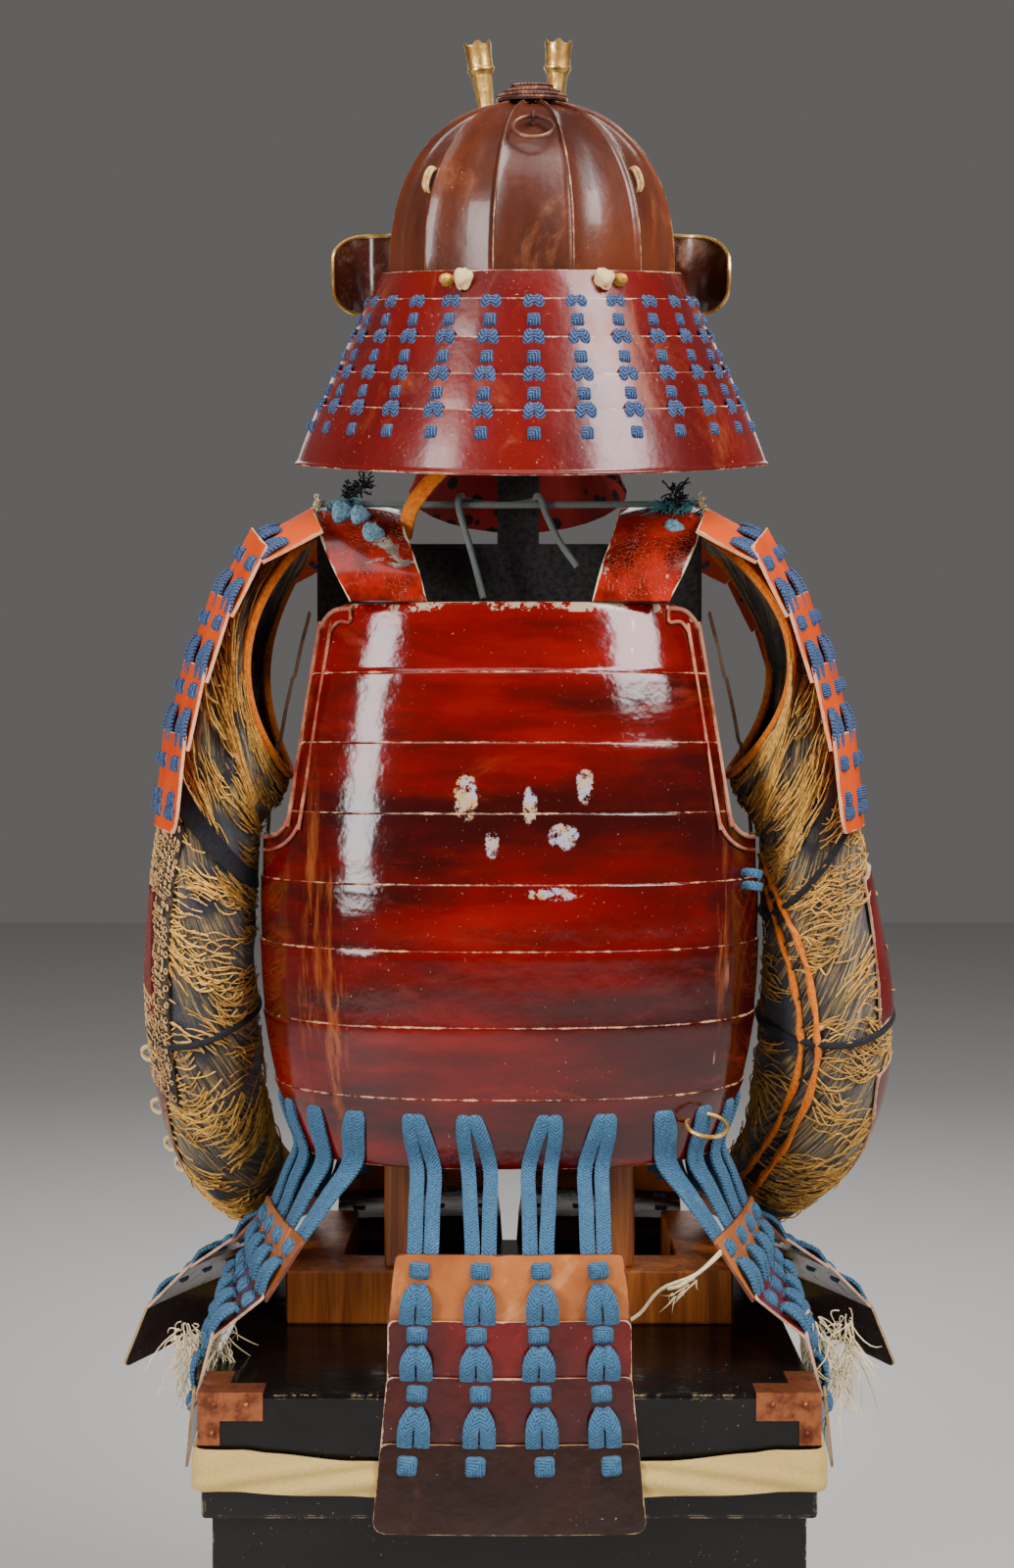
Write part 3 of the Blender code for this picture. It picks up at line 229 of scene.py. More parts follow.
# Each light: its place, watts and size
LIGHT_AIM = (0, 0, 0.85)
LIGHTS = (
    ("light_left", (-1.62, -1.62, 1.45), 62, (0.58, 1.7)),
    ("light_right", (1.80, -1.80, 2.35), 78, (1.25, 0.95)),
    ("light_high_right", (1.15, -1.25, 3.00), 70, (1.0, 1.3)),
    ("light_top", (-0.4, -1.1, 3.2), 18, (1.6, 1.2)),
    ("light_behind", (0.0, 2.2, 2.2), 22, (2.0, 1.4)),
)


# The part's own lines and surfaces


def mix(a, b, t):
    return a + (b - a) * t


def between(rows, t):
    """The row at a fractional place in a table of numbers, on a smooth curve through its rows."""
    count = len(rows) - 1
    t = min(max(t, 0), count)
    i = min(int(t), count - 1)
    f = t - i
    before, start, end, after = (rows[min(max(k, 0), count)] for k in (i - 1, i, i + 1, i + 2))
    return tuple(
        0.5 * (2 * s + (e - b) * f + (2 * b - 5 * s + 4 * e - a) * f * f + (3 * s - b - 3 * e + a) * f**3)
        for b, s, e, a in zip(before, start, end, after)
    )


def power(value, exponent):
    return copysign(abs(value) ** exponent, value)


def arc(centre, radius, start, end, count):
    """Points on a circle, angles in degrees."""
    angles = (radians(mix(start, end, k / count)) for k in range(count + 1))
    return [(centre[0] + radius * cos(a), centre[1] + radius * sin(a)) for a in angles]


def cuirass_row(z):
    """Half width, back depth and front depth at a height, straight between the plates' edges."""
    rows = CUIRASS_ROWS
    for upper, lower in zip(rows, rows[1:]):
        if z >= lower[0] or lower is rows[-1]:
            t = (z - lower[0]) / (upper[0] - lower[0])
            return tuple(mix(b, a, t) for a, b in zip(upper[1:], lower[1:]))


def cuirass_point(angle, z, out=0.0):
    """A point on the cuirass's outer face, the angle in degrees from the middle of the back towards +X."""
    half_width, back, front = cuirass_row(z)
    a = radians(angle)
    exponent = 2 / CUIRASS_SQUARENESS
    depth = back + SEAM_Y if cos(a) >= 0 else front - SEAM_Y
    return Vector(
        (
            (half_width + out) * power(sin(a), exponent),
            SEAM_Y - (depth + out) * power(cos(a), exponent),
            z,
        )
    )


def armhole_outline(sign, inner_top, inner_bottom, floor_z, shoulder_z, side_x=0.225):
    """The outline, in X and Z, of what an armhole cuts from one side of a breast or back plate."""
    radius = 0.026
    lower = arc((inner_bottom + 0.022, floor_z + 0.022), 0.022, 270, 185, 5)
    upper = arc((inner_top - radius, shoulder_z - radius), radius, 5, 90, 5)
    points = [(side_x, floor_z), *lower, *upper, (inner_top - radius, 1.10), (side_x, 1.10)]
    return [(sign * x, z) for x, z in points]


def bowl_point(angle, lift, out=0.0):
    """A point on the bowl: degrees round from the back towards +X, and degrees up from the rim."""
    a, e = radians(angle), radians(lift)
    depth = BOWL_BACK if cos(a) >= 0 else BOWL_FRONT
    reach = power(cos(e), 2 / BOWL_SQUARENESS)
    return Vector(
        (
            (BOWL_HALF_WIDTH + out) * sin(a) * reach,
            -(depth + out) * cos(a) * reach,
            (BOWL_HEIGHT + out) * power(sin(e), 2 / BOWL_SQUARENESS),
        )
    )


def neck_guard_row(t):
    return between(NECK_GUARD_ROWS, t)


def neck_guard_point(t, across, out=0.0):
    """A point on the neck guard: t lames down from the rim, across from -1 at its left end to 1."""
    drop, half_width, back, end = neck_guard_row(t)
    a = radians(end * across)
    depth = back if cos(a) >= 0 else half_width
    droop = NECK_GUARD_END_DROOP * across**4 * t / (len(NECK_GUARD_ROWS) - 1)
    return Vector(((half_width + out) * sin(a), -(depth + out) * cos(a), -drop - droop))


def shoulder_guard_out(row):
    """The outward direction at a row, halfway between those of the lines on each side of it."""
    line = SHOULDER_GUARD_ROWS
    (x0, z0), (x1, z1) = line[max(row - 1, 0)], line[min(row + 1, len(line) - 1)]
    return Vector((z0 - z1, 0, x1 - x0)).normalized()


def sleeve_point(sign, t, angle, out=0.0):
    """A point on a sleeve: t rings down, and degrees round from its inner side over the back."""
    inner_x, inner_z, outer_x, outer_z, middle_y, swing, half_depth = between(SLEEVE_ROWS, t)
    s = radians(swing)
    below_guard = max(t - 5, 0) / (len(SLEEVE_ROWS) - 6)
    fuller = SLEEVE_FULLNESS[sign] * sin(pi * below_guard) ** 2
    inner = Vector((inner_x, middle_y, inner_z))
    outer = Vector((outer_x + fuller, middle_y, outer_z))
    centre = (inner + outer) / 2
    reach = (outer - inner) / 2
    depth = Vector((0, -cos(s), -sin(s))) * half_depth
    a = radians(angle)
    pucker = SLEEVE_PUCKER * sin(SLEEVE_PUCKERS * a + 1.7 * t) * min(t, 3) / 3
    grow = 1 + (out + pucker) / half_depth
    point = centre + (-reach * cos(a) + depth * sin(a)) * grow
    point.x *= sign
    return point


def tasset_point(side, row, across, inward=0.0):
    """A point on the outer face of a tasset, across from -1 to 1, or further in."""
    x, y, z, faces, half_width = row
    a = radians(faces)
    out = Vector((sin(a), -cos(a), 0))
    sideways = Vector((cos(a), sin(a), 0))
    point = Vector((x, y, z)) + sideways * (across * half_width)
    point -= out * (TASSET_BOW * across * across + inward)
    point.x *= side
    return point


def chest_stations(stops):
    """Lengths round one half of the lid, from the middle of its front to the middle of its back.

    Each of the five runs, which are straight, corner, straight, corner and straight, is cut into so
    many stops.
    """
    quarter = pi / 2 * CHEST_CORNER
    across = LID_WIDTH / 2 - CHEST_CORNER
    runs = (across, quarter, LID_FRONT - LID_BACK - 2 * CHEST_CORNER, quarter, across)
    lengths = [0.0]
    for run, count in zip(runs, stops):
        start = lengths[-1]
        lengths += [start + run * (k + 1) / count for k in range(count)]
    return lengths


def chest_line(length, out):
    """The point so far round the lid from the middle of its front, and out from its side."""
    bend = CHEST_CORNER
    half_x = LID_WIDTH / 2 - bend
    front, back = LID_FRONT - bend, LID_BACK + bend
    quarter = pi / 2 * bend
    if length <= half_x:
        return Vector((length, front + bend + out, 0))
    length -= half_x
    if length <= quarter:
        a = length / bend
        return Vector((half_x + (bend + out) * sin(a), front + (bend + out) * cos(a), 0))
    length -= quarter
    if length <= front - back:
        return Vector((half_x + bend + out, front - length, 0))
    length -= front - back
    if length <= quarter:
        a = length / bend
        return Vector((half_x + (bend + out) * cos(a), back - (bend + out) * sin(a), 0))
    return Vector((half_x - (length - quarter), back - bend - out, 0))


ARMOUR_FRAME = Matrix.Translation((0, SLIDE_Y, 0))
HELMET_FRAME = ARMOUR_FRAME @ Matrix.Translation(HELMET_AT) @ Matrix.Rotation(HELMET_TILT, 4, "X")


# Finishes


class Finish:
    """A Principled material, built up node by node. Its inputs are numbers, colours or sockets."""

    def __init__(self, name, material=None):
        self.material = material or bpy.data.materials.new(name)
        self.material.use_nodes = True
        self.nodes = self.material.node_tree.nodes
        self.links = self.material.node_tree.links
        self.shader = self.nodes["Principled BSDF"]

    def put(self, node, key, value):
        if isinstance(value, bpy.types.NodeSocket):
            self.links.new(value, node.inputs[key])
        else:
            socket = node.inputs[key]
            if socket.type == "RGBA" and len(value) == 3:
                value = (*value, 1)
            socket.default_value = value

    def node(self, kind, inputs, output=0, **settings):
        made = self.nodes.new(kind)
        for key, value in settings.items():
            setattr(made, key, value)
        for key, value in inputs.items():
            self.put(made, key, value)
        return made.outputs[output]

    def place(self, stretch=(1, 1, 1)):
        """Coordinates in metres on the object, stretched along each axis."""
        where = self.node("ShaderNodeTexCoord", {}, "Object")
        return self.node("ShaderNodeMapping", {"Vector": where, "Scale": stretch})

    def carried(self):
        """What the mesh carries at each point: metres across, down and in from the nearest edge."""
        return self.node("ShaderNodeAttribute", {}, "Vector", attribute_name="laid")

    def laid(self, stretch):
        return self.node("ShaderNodeMapping", {"Vector": self.carried(), "Scale": stretch})

    def laid_part(self, axis):
        """One part of what the mesh carries: X across, Y down or Z in from the edge."""
        return self.node("ShaderNodeSeparateXYZ", {"Vector": self.carried()}, axis)

    def noise(self, scale, detail=4, roughness=0.55, vector=None, distortion=0.0):
        inputs = {
            "Vector": vector or self.place(),
            "Scale": scale,
            "Detail": detail,
            "Roughness": roughness,
            "Distortion": distortion,
        }
        return self.node("ShaderNodeTexNoise", inputs, "Fac")

    def cells(self, scale, vector=None, feature="F1"):
        inputs = {"Vector": vector or self.place(), "Scale": scale}
        return self.node("ShaderNodeTexVoronoi", inputs, "Distance", feature=feature)

    def maths(self, operation, a, b=0.0):
        return self.node("ShaderNodeMath", {0: a, 1: b}, operation=operation)

    def times(self, a, b):
        return self.maths("MULTIPLY", a, b)

    def plus(self, a, b):
        return self.maths("ADD", a, b)

    def minus(self, a, b):
        return self.maths("SUBTRACT", a, b)

    def most(self, a, b):
        return self.maths("MAXIMUM", a, b)

    def sine(self, a):
        return self.maths("SINE", a)

    def range(self, value, low, high, to_low=0.0, to_high=1.0):
        inputs = {"Value": value, "From Min": low, "From Max": high, "To Min": to_low, "To Max": to_high}
        return self.node("ShaderNodeMapRange", inputs, interpolation_type="SMOOTHSTEP")

    def sharp_edges(self, radius):
        """1 along the edges of a solid, 0 away from them."""
        rounded = self.node("ShaderNodeBevel", {"Radius": radius}, samples=4)
        face = self.node("ShaderNodeNewGeometry", {}, "Normal")
        facing = self.node("ShaderNodeVectorMath", {0: rounded, 1: face}, "Value", operation="DOT_PRODUCT")
        return self.range(facing, 0.90, 0.995, 1.0, 0.0)

    def blot(self, centre, size):
        """1 at a place in the armour's frame, falling to 0 at about that half size from it."""
        where = self.node("ShaderNodeTexCoord", {}, "Object")
        shift = tuple(-c for c in (centre[0], centre[1] + SLIDE_Y, centre[2]))
        moved = self.node("ShaderNodeVectorMath", {0: where, 1: shift}, operation="ADD")
        shrink = tuple(1 / v for v in size)
        scaled = self.node("ShaderNodeVectorMath", {0: moved, 1: shrink}, operation="MULTIPLY")
        far = self.node("ShaderNodeVectorMath", {0: scaled}, "Value", operation="LENGTH")
        return self.range(far, 0.0, 1.0, 1.0, 0.0)

    def mix(self, share, a, b):
        made = self.nodes.new("ShaderNodeMix")
        made.data_type = "RGBA"
        for socket, value in ((made.inputs[0], share), (made.inputs[6], a), (made.inputs[7], b)):
            if isinstance(value, bpy.types.NodeSocket):
                self.links.new(value, socket)
            else:
                socket.default_value = (*value, 1) if hasattr(value, "__len__") else value
        return made.outputs[2]

    def bump(self, height, depth, below=None):
        """A relief, its height in metres at 1, laid over the one below."""
        inputs = {"Height": height, "Distance": depth, "Strength": 1.0}
        if below is not None:
            inputs["Normal"] = below
        return self.node("ShaderNodeBump", inputs)

    def done(self, colour, roughness, metallic=0.0, normal=None, **constants):
        self.put(self.shader, "Base Color", colour)
        self.put(self.shader, "Roughness", roughness)
        self.put(self.shader, "Metallic", metallic)
        if normal is not None:
            self.put(self.shader, "Normal", normal)
        for key, value in constants.items():
            self.put(self.shader, key.replace("_", " "), value)
        return self.material


def lacquer(
    name, base, deep, worn, bare, gloss=0.16, wear=0.3, edge_wear=0.0016, streak=(1, 1, 1), solid=False,
    shade=None, coat=0.22, shine=0.36,
):
    """Old hand-laid lacquer: cloudy colour, rubbed patches, specks, and chips along the edges.

    A solid's edges are found from its form, and another piece's from the metres that its mesh carries.
    """
    f = Finish(name)
    clouds = f.range(f.noise(9, 5, 0.6, f.place(streak)), 0.35, 0.68)
    colour = f.mix(clouds, deep, base)
    # Painted shade: where shade(f) is 1, the colour darkens to the deep colour.
    if shade:
        colour = f.mix(shade(f), colour, deep)
    rubbed = f.range(f.noise(16, 8, 0.72, f.place(streak), 0.6), 0.62 - 0.16 * wear, 0.78 - 0.10 * wear)
    colour = f.mix(f.times(rubbed, 0.75), colour, worn)
    specks = f.range(f.noise(420, 3, 0.6), 0.70 - 0.05 * wear, 0.76)
    field = f.range(f.noise(14, 3), 0.42, 0.62)
    specks = f.times(specks, field)
    colour = f.mix(specks, colour, bare)
    if solid:
        chips = f.times(f.sharp_edges(edge_wear), f.range(f.noise(70, 6, 0.75), 0.50, 0.60))
    else:
        reach = f.times(f.range(f.noise(55, 6, 0.75), 0.42, 0.74), edge_wear * 2.2)
        chips = f.range(f.minus(f.laid_part("Z"), reach), -0.0002, 0.0003, 1.0, 0.0)
    colour = f.mix(chips, colour, bare)
    scratches = f.range(f.noise(90, 4, 0.5, f.place((1, 1, 14))), 0.66, 0.72)
    rough = f.plus(gloss, f.times(rubbed, 0.20))
    rough = f.plus(rough, f.times(f.most(chips, specks), 0.35))
    rough = f.plus(rough, f.times(scratches, 0.10))
    swell = f.bump(f.noise(38, 3, 0.5), 0.0009)
    pits = f.bump(f.noise(300, 4, 0.6), 0.00010, swell)
    sunk = f.bump(f.minus(1.0, chips), 0.00025, pits)
    return f.done(
        colour, rough, 0.0, sunk, Coat_Weight=coat, Coat_Roughness=0.10, Specular_IOR_Level=shine
    )


def braid(name, light, dark, faded, stitch=0.0026, fleck=0.55):
    """Flat plaited silk: fine slanting stitches on each half of its width, fuzzy and unevenly faded."""
    f = Finish(name)
    across = f.maths("ABSOLUTE", f.laid_part("X"))
    slant = f.plus(f.laid_part("Y"), f.times(across, 0.9))
    turns = f.times(slant, 2 * pi / stitch)
    turns = f.plus(turns, f.times(f.noise(260, 3), 5.0))
    ribs = f.range(f.sine(turns), -1.0, 1.0)
    threads = f.noise(900, 4, 0.7)
    tone = f.plus(f.times(ribs, 1 - fleck), f.times(threads, 2 * fleck))
    colour = f.mix(f.range(tone, 0.45, 1.10), dark, light)
    colour = f.mix(f.range(f.noise(70, 4, 0.7), 0.55, 0.90), colour, faded)
    relief = f.bump(ribs, 0.0008)
    fuzz = f.bump(threads, 0.0008, relief)
    return f.done(colour, 0.92, 0.0, fuzz, Sheen_Weight=0.06, Specular_IOR_Level=0.2)


def twisted(name, light, dark, turn=0.009, strands=3.0):
    """Twisted cord: strands that wind round its length, which the mesh carries."""
    f = Finish(name)
    wind = f.times(f.laid_part("Y"), 2 * pi / turn)
    wind = f.plus(wind, f.times(f.laid_part("X"), strands))
    ribs = f.range(f.sine(wind), -1.0, 1.0)
    threads = f.noise(900, 4, 0.65)
    colour = f.mix(f.range(f.plus(ribs, threads), 0.35, 1.5), dark, light)
    relief = f.bump(f.maths("POWER", ribs, 0.5), 0.0010)
    fuzz = f.bump(threads, 0.0004, relief)
    return f.done(colour, 0.9, 0.0, fuzz, Sheen_Weight=0.25)


def metal(name, bright, dark, rough=0.35, metallic=0.9, grain=60):
    """Old metal: dark in its hollows, with dull patches and pits."""
    f = Finish(name)
    patches = f.range(f.noise(grain, 6, 0.65), 0.38, 0.62)
    colour = f.mix(patches, dark, bright)
    pits = f.range(f.noise(grain * 8, 3, 0.6), 0.62, 0.74)
    colour = f.mix(f.times(pits, 0.6), colour, dark)
    roughness = f.range(patches, 0.0, 1.0, rough + 0.25, rough)
    relief = f.bump(f.noise(grain * 2, 5, 0.6), 0.0006)
    relief = f.bump(f.minus(1.0, pits), 0.00015, relief)
    return f.done(colour, roughness, metallic, relief)


def wood_finish(name, light, dark):
    f = Finish(name)
    where = f.place((1, 1, 0.06))
    rings = f.noise(70, 5, 0.6, where, distortion=1.2)
    pores = f.range(f.noise(520, 3, 0.5, f.place((1, 1, 0.04))), 0.60, 0.72)
    colour = f.mix(f.range(rings, 0.36, 0.64), dark, light)
    colour = f.mix(f.times(pores, 0.5), colour, dark)
    relief = f.bump(f.minus(rings, f.times(pores, 0.6)), 0.0004)
    return f.done(colour, f.range(f.noise(30), 0.3, 0.7, 0.34, 0.52), 0.0, relief, Coat_Weight=0.25)


def felt_finish(name, light, dark, scale=240, depth=0.0012):
    f = Finish(name)
    nap = f.noise(scale, 6, 0.75)
    colour = f.mix(f.range(nap, 0.3, 0.7), dark, light)
    return f.done(colour, 0.95, 0.0, f.bump(nap, depth), Sheen_Weight=0.05, Specular_IOR_Level=0.2)


def woven(name, base, shade, bright, thread=0.0011, gold=0.95):
    """Worn brocade: a weave of crossed threads, with its gold rows frayed away in patches."""
    f = Finish(name)
    rows = f.range(f.sine(f.times(f.laid_part("Y"), 2 * pi / thread)), -1, 1)
    columns = f.range(f.sine(f.times(f.laid_part("X"), 2 * pi / thread)), -1, 1)
    cloth = f.most(rows, columns)
    colour = f.mix(f.range(f.noise(32, 5, 0.65), 0.35, 0.65), shade, base)
    streaks = f.noise(150, 5, 0.7, f.laid((0.25, 1.6, 0)))
    patch = f.range(f.noise(11, 4, 0.6, distortion=0.8), 0.60 - 0.22 * gold, 0.72 - 0.20 * gold)
    frayed = f.times(f.range(streaks, 0.44, 0.60), patch)
    colour = f.mix(frayed, colour, bright)
    relief = f.bump(cloth, 0.0003)
    relief = f.bump(f.noise(60, 5, 0.6), 0.0022, relief)
    relief = f.bump(frayed, 0.0006, relief)
    return f.done(colour, 0.85, 0.0, relief, Sheen_Weight=0.2)


def mail(name, iron, cloth, pitch=0.0075):
    """Iron links sewn on cloth, row on row, each row half a link along."""
    f = Finish(name)
    grid = f.laid((1 / pitch, 1 / pitch, 0))
    links = f.cells(1.0, grid)
    ring = f.range(f.maths("ABSOLUTE", f.minus(links, 0.36)), 0.06, 0.16, 1.0, 0.0)
    rust = f.range(f.noise(45, 6, 0.7), 0.40, 0.66)
    colour = f.mix(ring, cloth, f.mix(rust, iron, (0.10, 0.045, 0.025)))
    relief = f.bump(ring, 0.0013)
    relief = f.bump(f.noise(70, 5, 0.6), 0.0020, relief)
    metallic = f.times(ring, 0.55)
    return f.done(colour, f.range(ring, 0, 1, 0.9, 0.48), metallic, relief)


def painted_shade_low_right(f):
    """Painted shade: where the cuirass is darkened to its deep colour, low on the right at the back."""
    return f.times(f.blot((0.20, -0.10, 0.74), (0.26, 0.30, 0.28)), f.range(f.noise(12, 4), 0.25, 0.6))


# Where the back of the cuirass is rubbed: place across, height, half width and half height of each
# stripe rubbed brown and each patch rubbed bare
RUBBED_STRIPES = (
    (-0.141, 0.775, 0.0085, 0.110),
    (-0.122, 0.745, 0.0075, 0.095),
    (0.150, 0.800, 0.0060, 0.070),
)
WORN_PATCHES = (
    (-0.030, 0.878, 0.008, 0.016),
    (-0.012, 0.846, 0.005, 0.010),
    (0.014, 0.872, 0.005, 0.013),
    (0.037, 0.851, 0.010, 0.009),
    (0.052, 0.886, 0.006, 0.012),
    (0.030, 0.812, 0.020, 0.005),
)
# What shows there, in its scores, where its upper edge has flaked, and in the bare patches
RUBBED_BROWN, SCORED_PINK, FLAKED_CREAM = (0.26, 0.060, 0.014), (0.55, 0.30, 0.20), (0.42, 0.30, 0.20)
BARE_GREY, BARE_TAN = (0.30, 0.30, 0.40), (0.42, 0.25, 0.12)


def cuirass_finish():
    """Deep red lacquer streaked round the body, darkened low on one side as painted shade, with a few
    patches rubbed bare.
    """
    # The deep colour is laid low on the right as painted shade.
    made = lacquer(
        "cuirass lacquer", (0.20, 0.0026, 0.0015), (0.026, 0.0011, 0.0008), (0.20, 0.014, 0.004),
        (0.46, 0.24, 0.13), 0.10, 0.35, 0.0005, (0.4, 0.4, 1.7), shade=painted_shade_low_right,
    )
    f = Finish("cuirass lacquer", made)
    worn = None
    for x, z, half_width, half_height in WORN_PATCHES:
        spot = f.blot((x, -0.112, z), (half_width * 1.9, 0.05, half_height * 1.9))
        worn = spot if worn is None else f.most(worn, spot)
    ragged = f.times(worn, f.range(f.noise(150, 6, 0.8), 0.30, 0.62))
    bare = f.range(ragged, 0.30, 0.42)
    before = f.shader.inputs["Base Color"].links[0].from_socket
    for x, z, half_width, half_height in RUBBED_STRIPES:
        stripe = f.blot((x, -0.125, z), (half_width * 2.2, 0.12, half_height * 2.2))
        rubbed = f.times(stripe, f.range(f.noise(70, 5, 0.7, f.place((1, 1, 0.12))), 0.36, 0.66))
        before = f.mix(f.range(rubbed, 0.12, 0.75), before, RUBBED_BROWN)
    scored = f.range(f.noise(46, 2, 0.4, f.place((1, 1, 0.16)), 1.2), 0.752, 0.760)
    scored = f.times(scored, f.range(f.noise(9, 2), 0.50, 0.60))
    before = f.mix(scored, before, SCORED_PINK)
    top = f.range(f.laid_part("Y"), 0.0, 0.012, 1.0, 0.0)
    flakes = f.range(f.times(top, f.range(f.noise(48, 6, 0.75), 0.44, 0.64)), 0.22, 0.30)
    before = f.mix(flakes, before, FLAKED_CREAM)
    tone = f.mix(f.range(f.noise(60), 0.4, 0.6), BARE_GREY, BARE_TAN)
    f.put(f.shader, "Base Color", f.mix(bare, before, tone))
    rough = f.shader.inputs["Roughness"].links[0].from_socket
    f.put(f.shader, "Roughness", f.plus(rough, f.times(bare, 0.4)))
    return made


def strap_finish():
    """Red lacquer crackled all over, flaked to grey along its outer side."""
    f = Finish("crackled strap lacquer")
    colour = f.mix(f.range(f.noise(26, 5, 0.6), 0.35, 0.65), (0.060, 0.0030, 0.0022), (0.34, 0.012, 0.004))
    cracks = f.range(f.cells(260, feature="DISTANCE_TO_EDGE"), 0.0, 0.055, 1.0, 0.0)
    cracks = f.times(cracks, f.range(f.noise(30, 3), 0.42, 0.56))
    colour = f.mix(cracks, colour, (0.30, 0.050, 0.020))
    flaked = f.range(f.noise(24, 6, 0.66, distortion=0.7), 0.58, 0.61)
    grey = f.mix(f.range(f.noise(120, 4, 0.7), 0.4, 0.65), (0.12, 0.095, 0.08), (0.36, 0.31, 0.26))
    colour = f.mix(flaked, colour, grey)
    edge = f.range(f.plus(f.laid_part("Z"), f.times(f.noise(70, 5), -0.006)), -0.0026, -0.0020, 1, 0)
    colour = f.mix(edge, colour, (0.58, 0.44, 0.28))
    relief = f.bump(f.minus(1.0, flaked), 0.0005)
    relief = f.bump(f.minus(1.0, cracks), 0.0003, relief)
    rough = f.plus(0.16, f.times(f.most(flaked, edge), 0.45))
    return f.done(colour, rough, 0.0, relief, Coat_Weight=0.12, Specular_IOR_Level=0.35)


def spotted_cloth():
    """Red cloth with round black spots."""
    f = Finish("spotted red")
    spots = f.range(f.cells(62), 0.30, 0.36, 1.0, 0.0)
    red = f.mix(f.noise(90, 4), (0.42, 0.010, 0.012), (0.60, 0.030, 0.020))
    colour = f.mix(spots, red, (0.012, 0.010, 0.012))
    return f.done(colour, 0.7, 0.0, f.bump(f.noise(400, 4), 0.0005))


BLUE = ((0.082, 0.140, 0.29), (0.012, 0.022, 0.065), (0.14, 0.20, 0.33))
PALE_BLUE = ((0.062, 0.175, 0.300), (0.010, 0.034, 0.082), (0.12, 0.25, 0.36))
CHIP = (0.52, 0.30, 0.20)

# Each lacquer: its material's name; base, deep, worn and bare colours; then gloss, wear, the width of its
# chipped edge in metres and its streaks' stretch, as far as they are not the usual ones
LACQUERS = {
    "red_lacquer": (
        "red lacquer", (0.17, 0.0034, 0.0020), (0.06, 0.0020, 0.0014), (0.28, 0.032, 0.012),
        CHIP, 0.15, 0.25,
    ),
    "neck_lacquer": (
        "neck guard lacquer", (0.150, 0.0034, 0.0020), (0.075, 0.0020, 0.0015), (0.26, 0.050, 0.012),
        (0.60, 0.33, 0.20), 0.27, 0.75, 0.0007, (1, 1, 0.6),
    ),
    "brown_lacquer": (
        "russet lacquer", (0.125, 0.023, 0.005), (0.036, 0.006, 0.0022), (0.26, 0.070, 0.016),
        (0.44, 0.23, 0.13), 0.36, 0.5, 0.0004, (1, 1, 0.5),
    ),
    "dark_brown_lacquer": (
        "dark brown lacquer", (0.060, 0.012, 0.006), (0.024, 0.005, 0.003), (0.20, 0.10, 0.06),
        (0.60, 0.36, 0.20), 0.22, 0.55, 0.0010,
    ),
    "dark_lacquer": (
        "dark red lacquer", (0.130, 0.0030, 0.0020), (0.045, 0.0016, 0.0013), (0.19, 0.012, 0.006),
        CHIP, 0.16, 0.3, 0.0006,
    ),
    "darker_lacquer": (
        "brown-red lacquer", (0.060, 0.0030, 0.0022), (0.026, 0.0022, 0.0018), (0.10, 0.010, 0.006),
        CHIP, 0.18, 0.3, 0.0006,
    ),
    "black_brown_lacquer": (
        "black-brown lacquer", (0.030, 0.0070, 0.0035), (0.014, 0.0045, 0.0028), (0.055, 0.018, 0.008),
        (0.36, 0.22, 0.10), 0.24, 0.35, 0.0006,
    ),
    "tan_lacquer": (
        "tan lacquer", (0.50, 0.155, 0.030), (0.26, 0.060, 0.010), (0.58, 0.26, 0.10),
        (0.10, 0.022, 0.012), 0.24, 0.8, 0.0007,
    ),
    "orange_lacquer": (
        "orange lacquer", (0.64, 0.075, 0.006), (0.46, 0.038, 0.005), (0.62, 0.13, 0.025),
        (0.74, 0.36, 0.20), 0.62, 0.3, 0.0008,
    ),
    "black_lacquer": (
        "black lacquer", (0.006, 0.0045, 0.004), (0.003, 0.0024, 0.0022), (0.014, 0.009, 0.006),
        (0.50, 0.34, 0.18), 0.16, 0.05, 0.0022,
    ),
    "bead_lacquer": (
        "rubbed moulding", (0.34, 0.060, 0.035), (0.12, 0.010, 0.008), (0.58, 0.26, 0.15),
        (0.70, 0.44, 0.30), 0.16, 1.4, 0.0,
    ),
}
# How a lacquer's surface differs from the usual one
LACQUER_SURFACES = {
    "orange_lacquer": {"coat": 0.0, "shine": 0.08},
    "black_lacquer": {"solid": True, "coat": 0.1, "shine": 0.22},
}
# Each felted cloth or thread: name, light and dark colours, then how fine and how deep its nap is
FELTS = {
    "black_felt": ("black felt", (0.050, 0.046, 0.045), (0.014, 0.012, 0.012)),
    "teal_thread": ("teal thread", (0.10, 0.33, 0.36), (0.03, 0.12, 0.14), 700, 0.0005),
    "toggle": ("knotted toggle", (0.24, 0.42, 0.50), (0.03, 0.09, 0.14), 420, 0.0012),
    "belt_cloth": ("belt cloth", (0.58, 0.41, 0.14), (0.44, 0.29, 0.08), 900, 0.0004),
    "binding": ("orange binding", (0.76, 0.22, 0.012), (0.44, 0.075, 0.008), 300, 0.0006),
    "red_cloth": ("red cloth", (0.20, 0.035, 0.025), (0.08, 0.014, 0.012), 200, 0.0016),
    "gold_thread": ("gold thread", (0.82, 0.47, 0.11), (0.34, 0.155, 0.025), 300, 0.0003),
    "cream_fibre": ("cream fibre", (0.78, 0.66, 0.42), (0.50, 0.38, 0.20), 400, 0.0003),
    "cream_cord": ("cream cord", (0.80, 0.62, 0.34), (0.50, 0.32, 0.13), 900, 0.0006),
    "leather": ("tan leather", (0.70, 0.46, 0.20), (0.34, 0.17, 0.06), 160, 0.0006),
    "black_thread": ("black thread", (0.022, 0.021, 0.026), (0.006, 0.006, 0.008), 600, 0.0004),
}

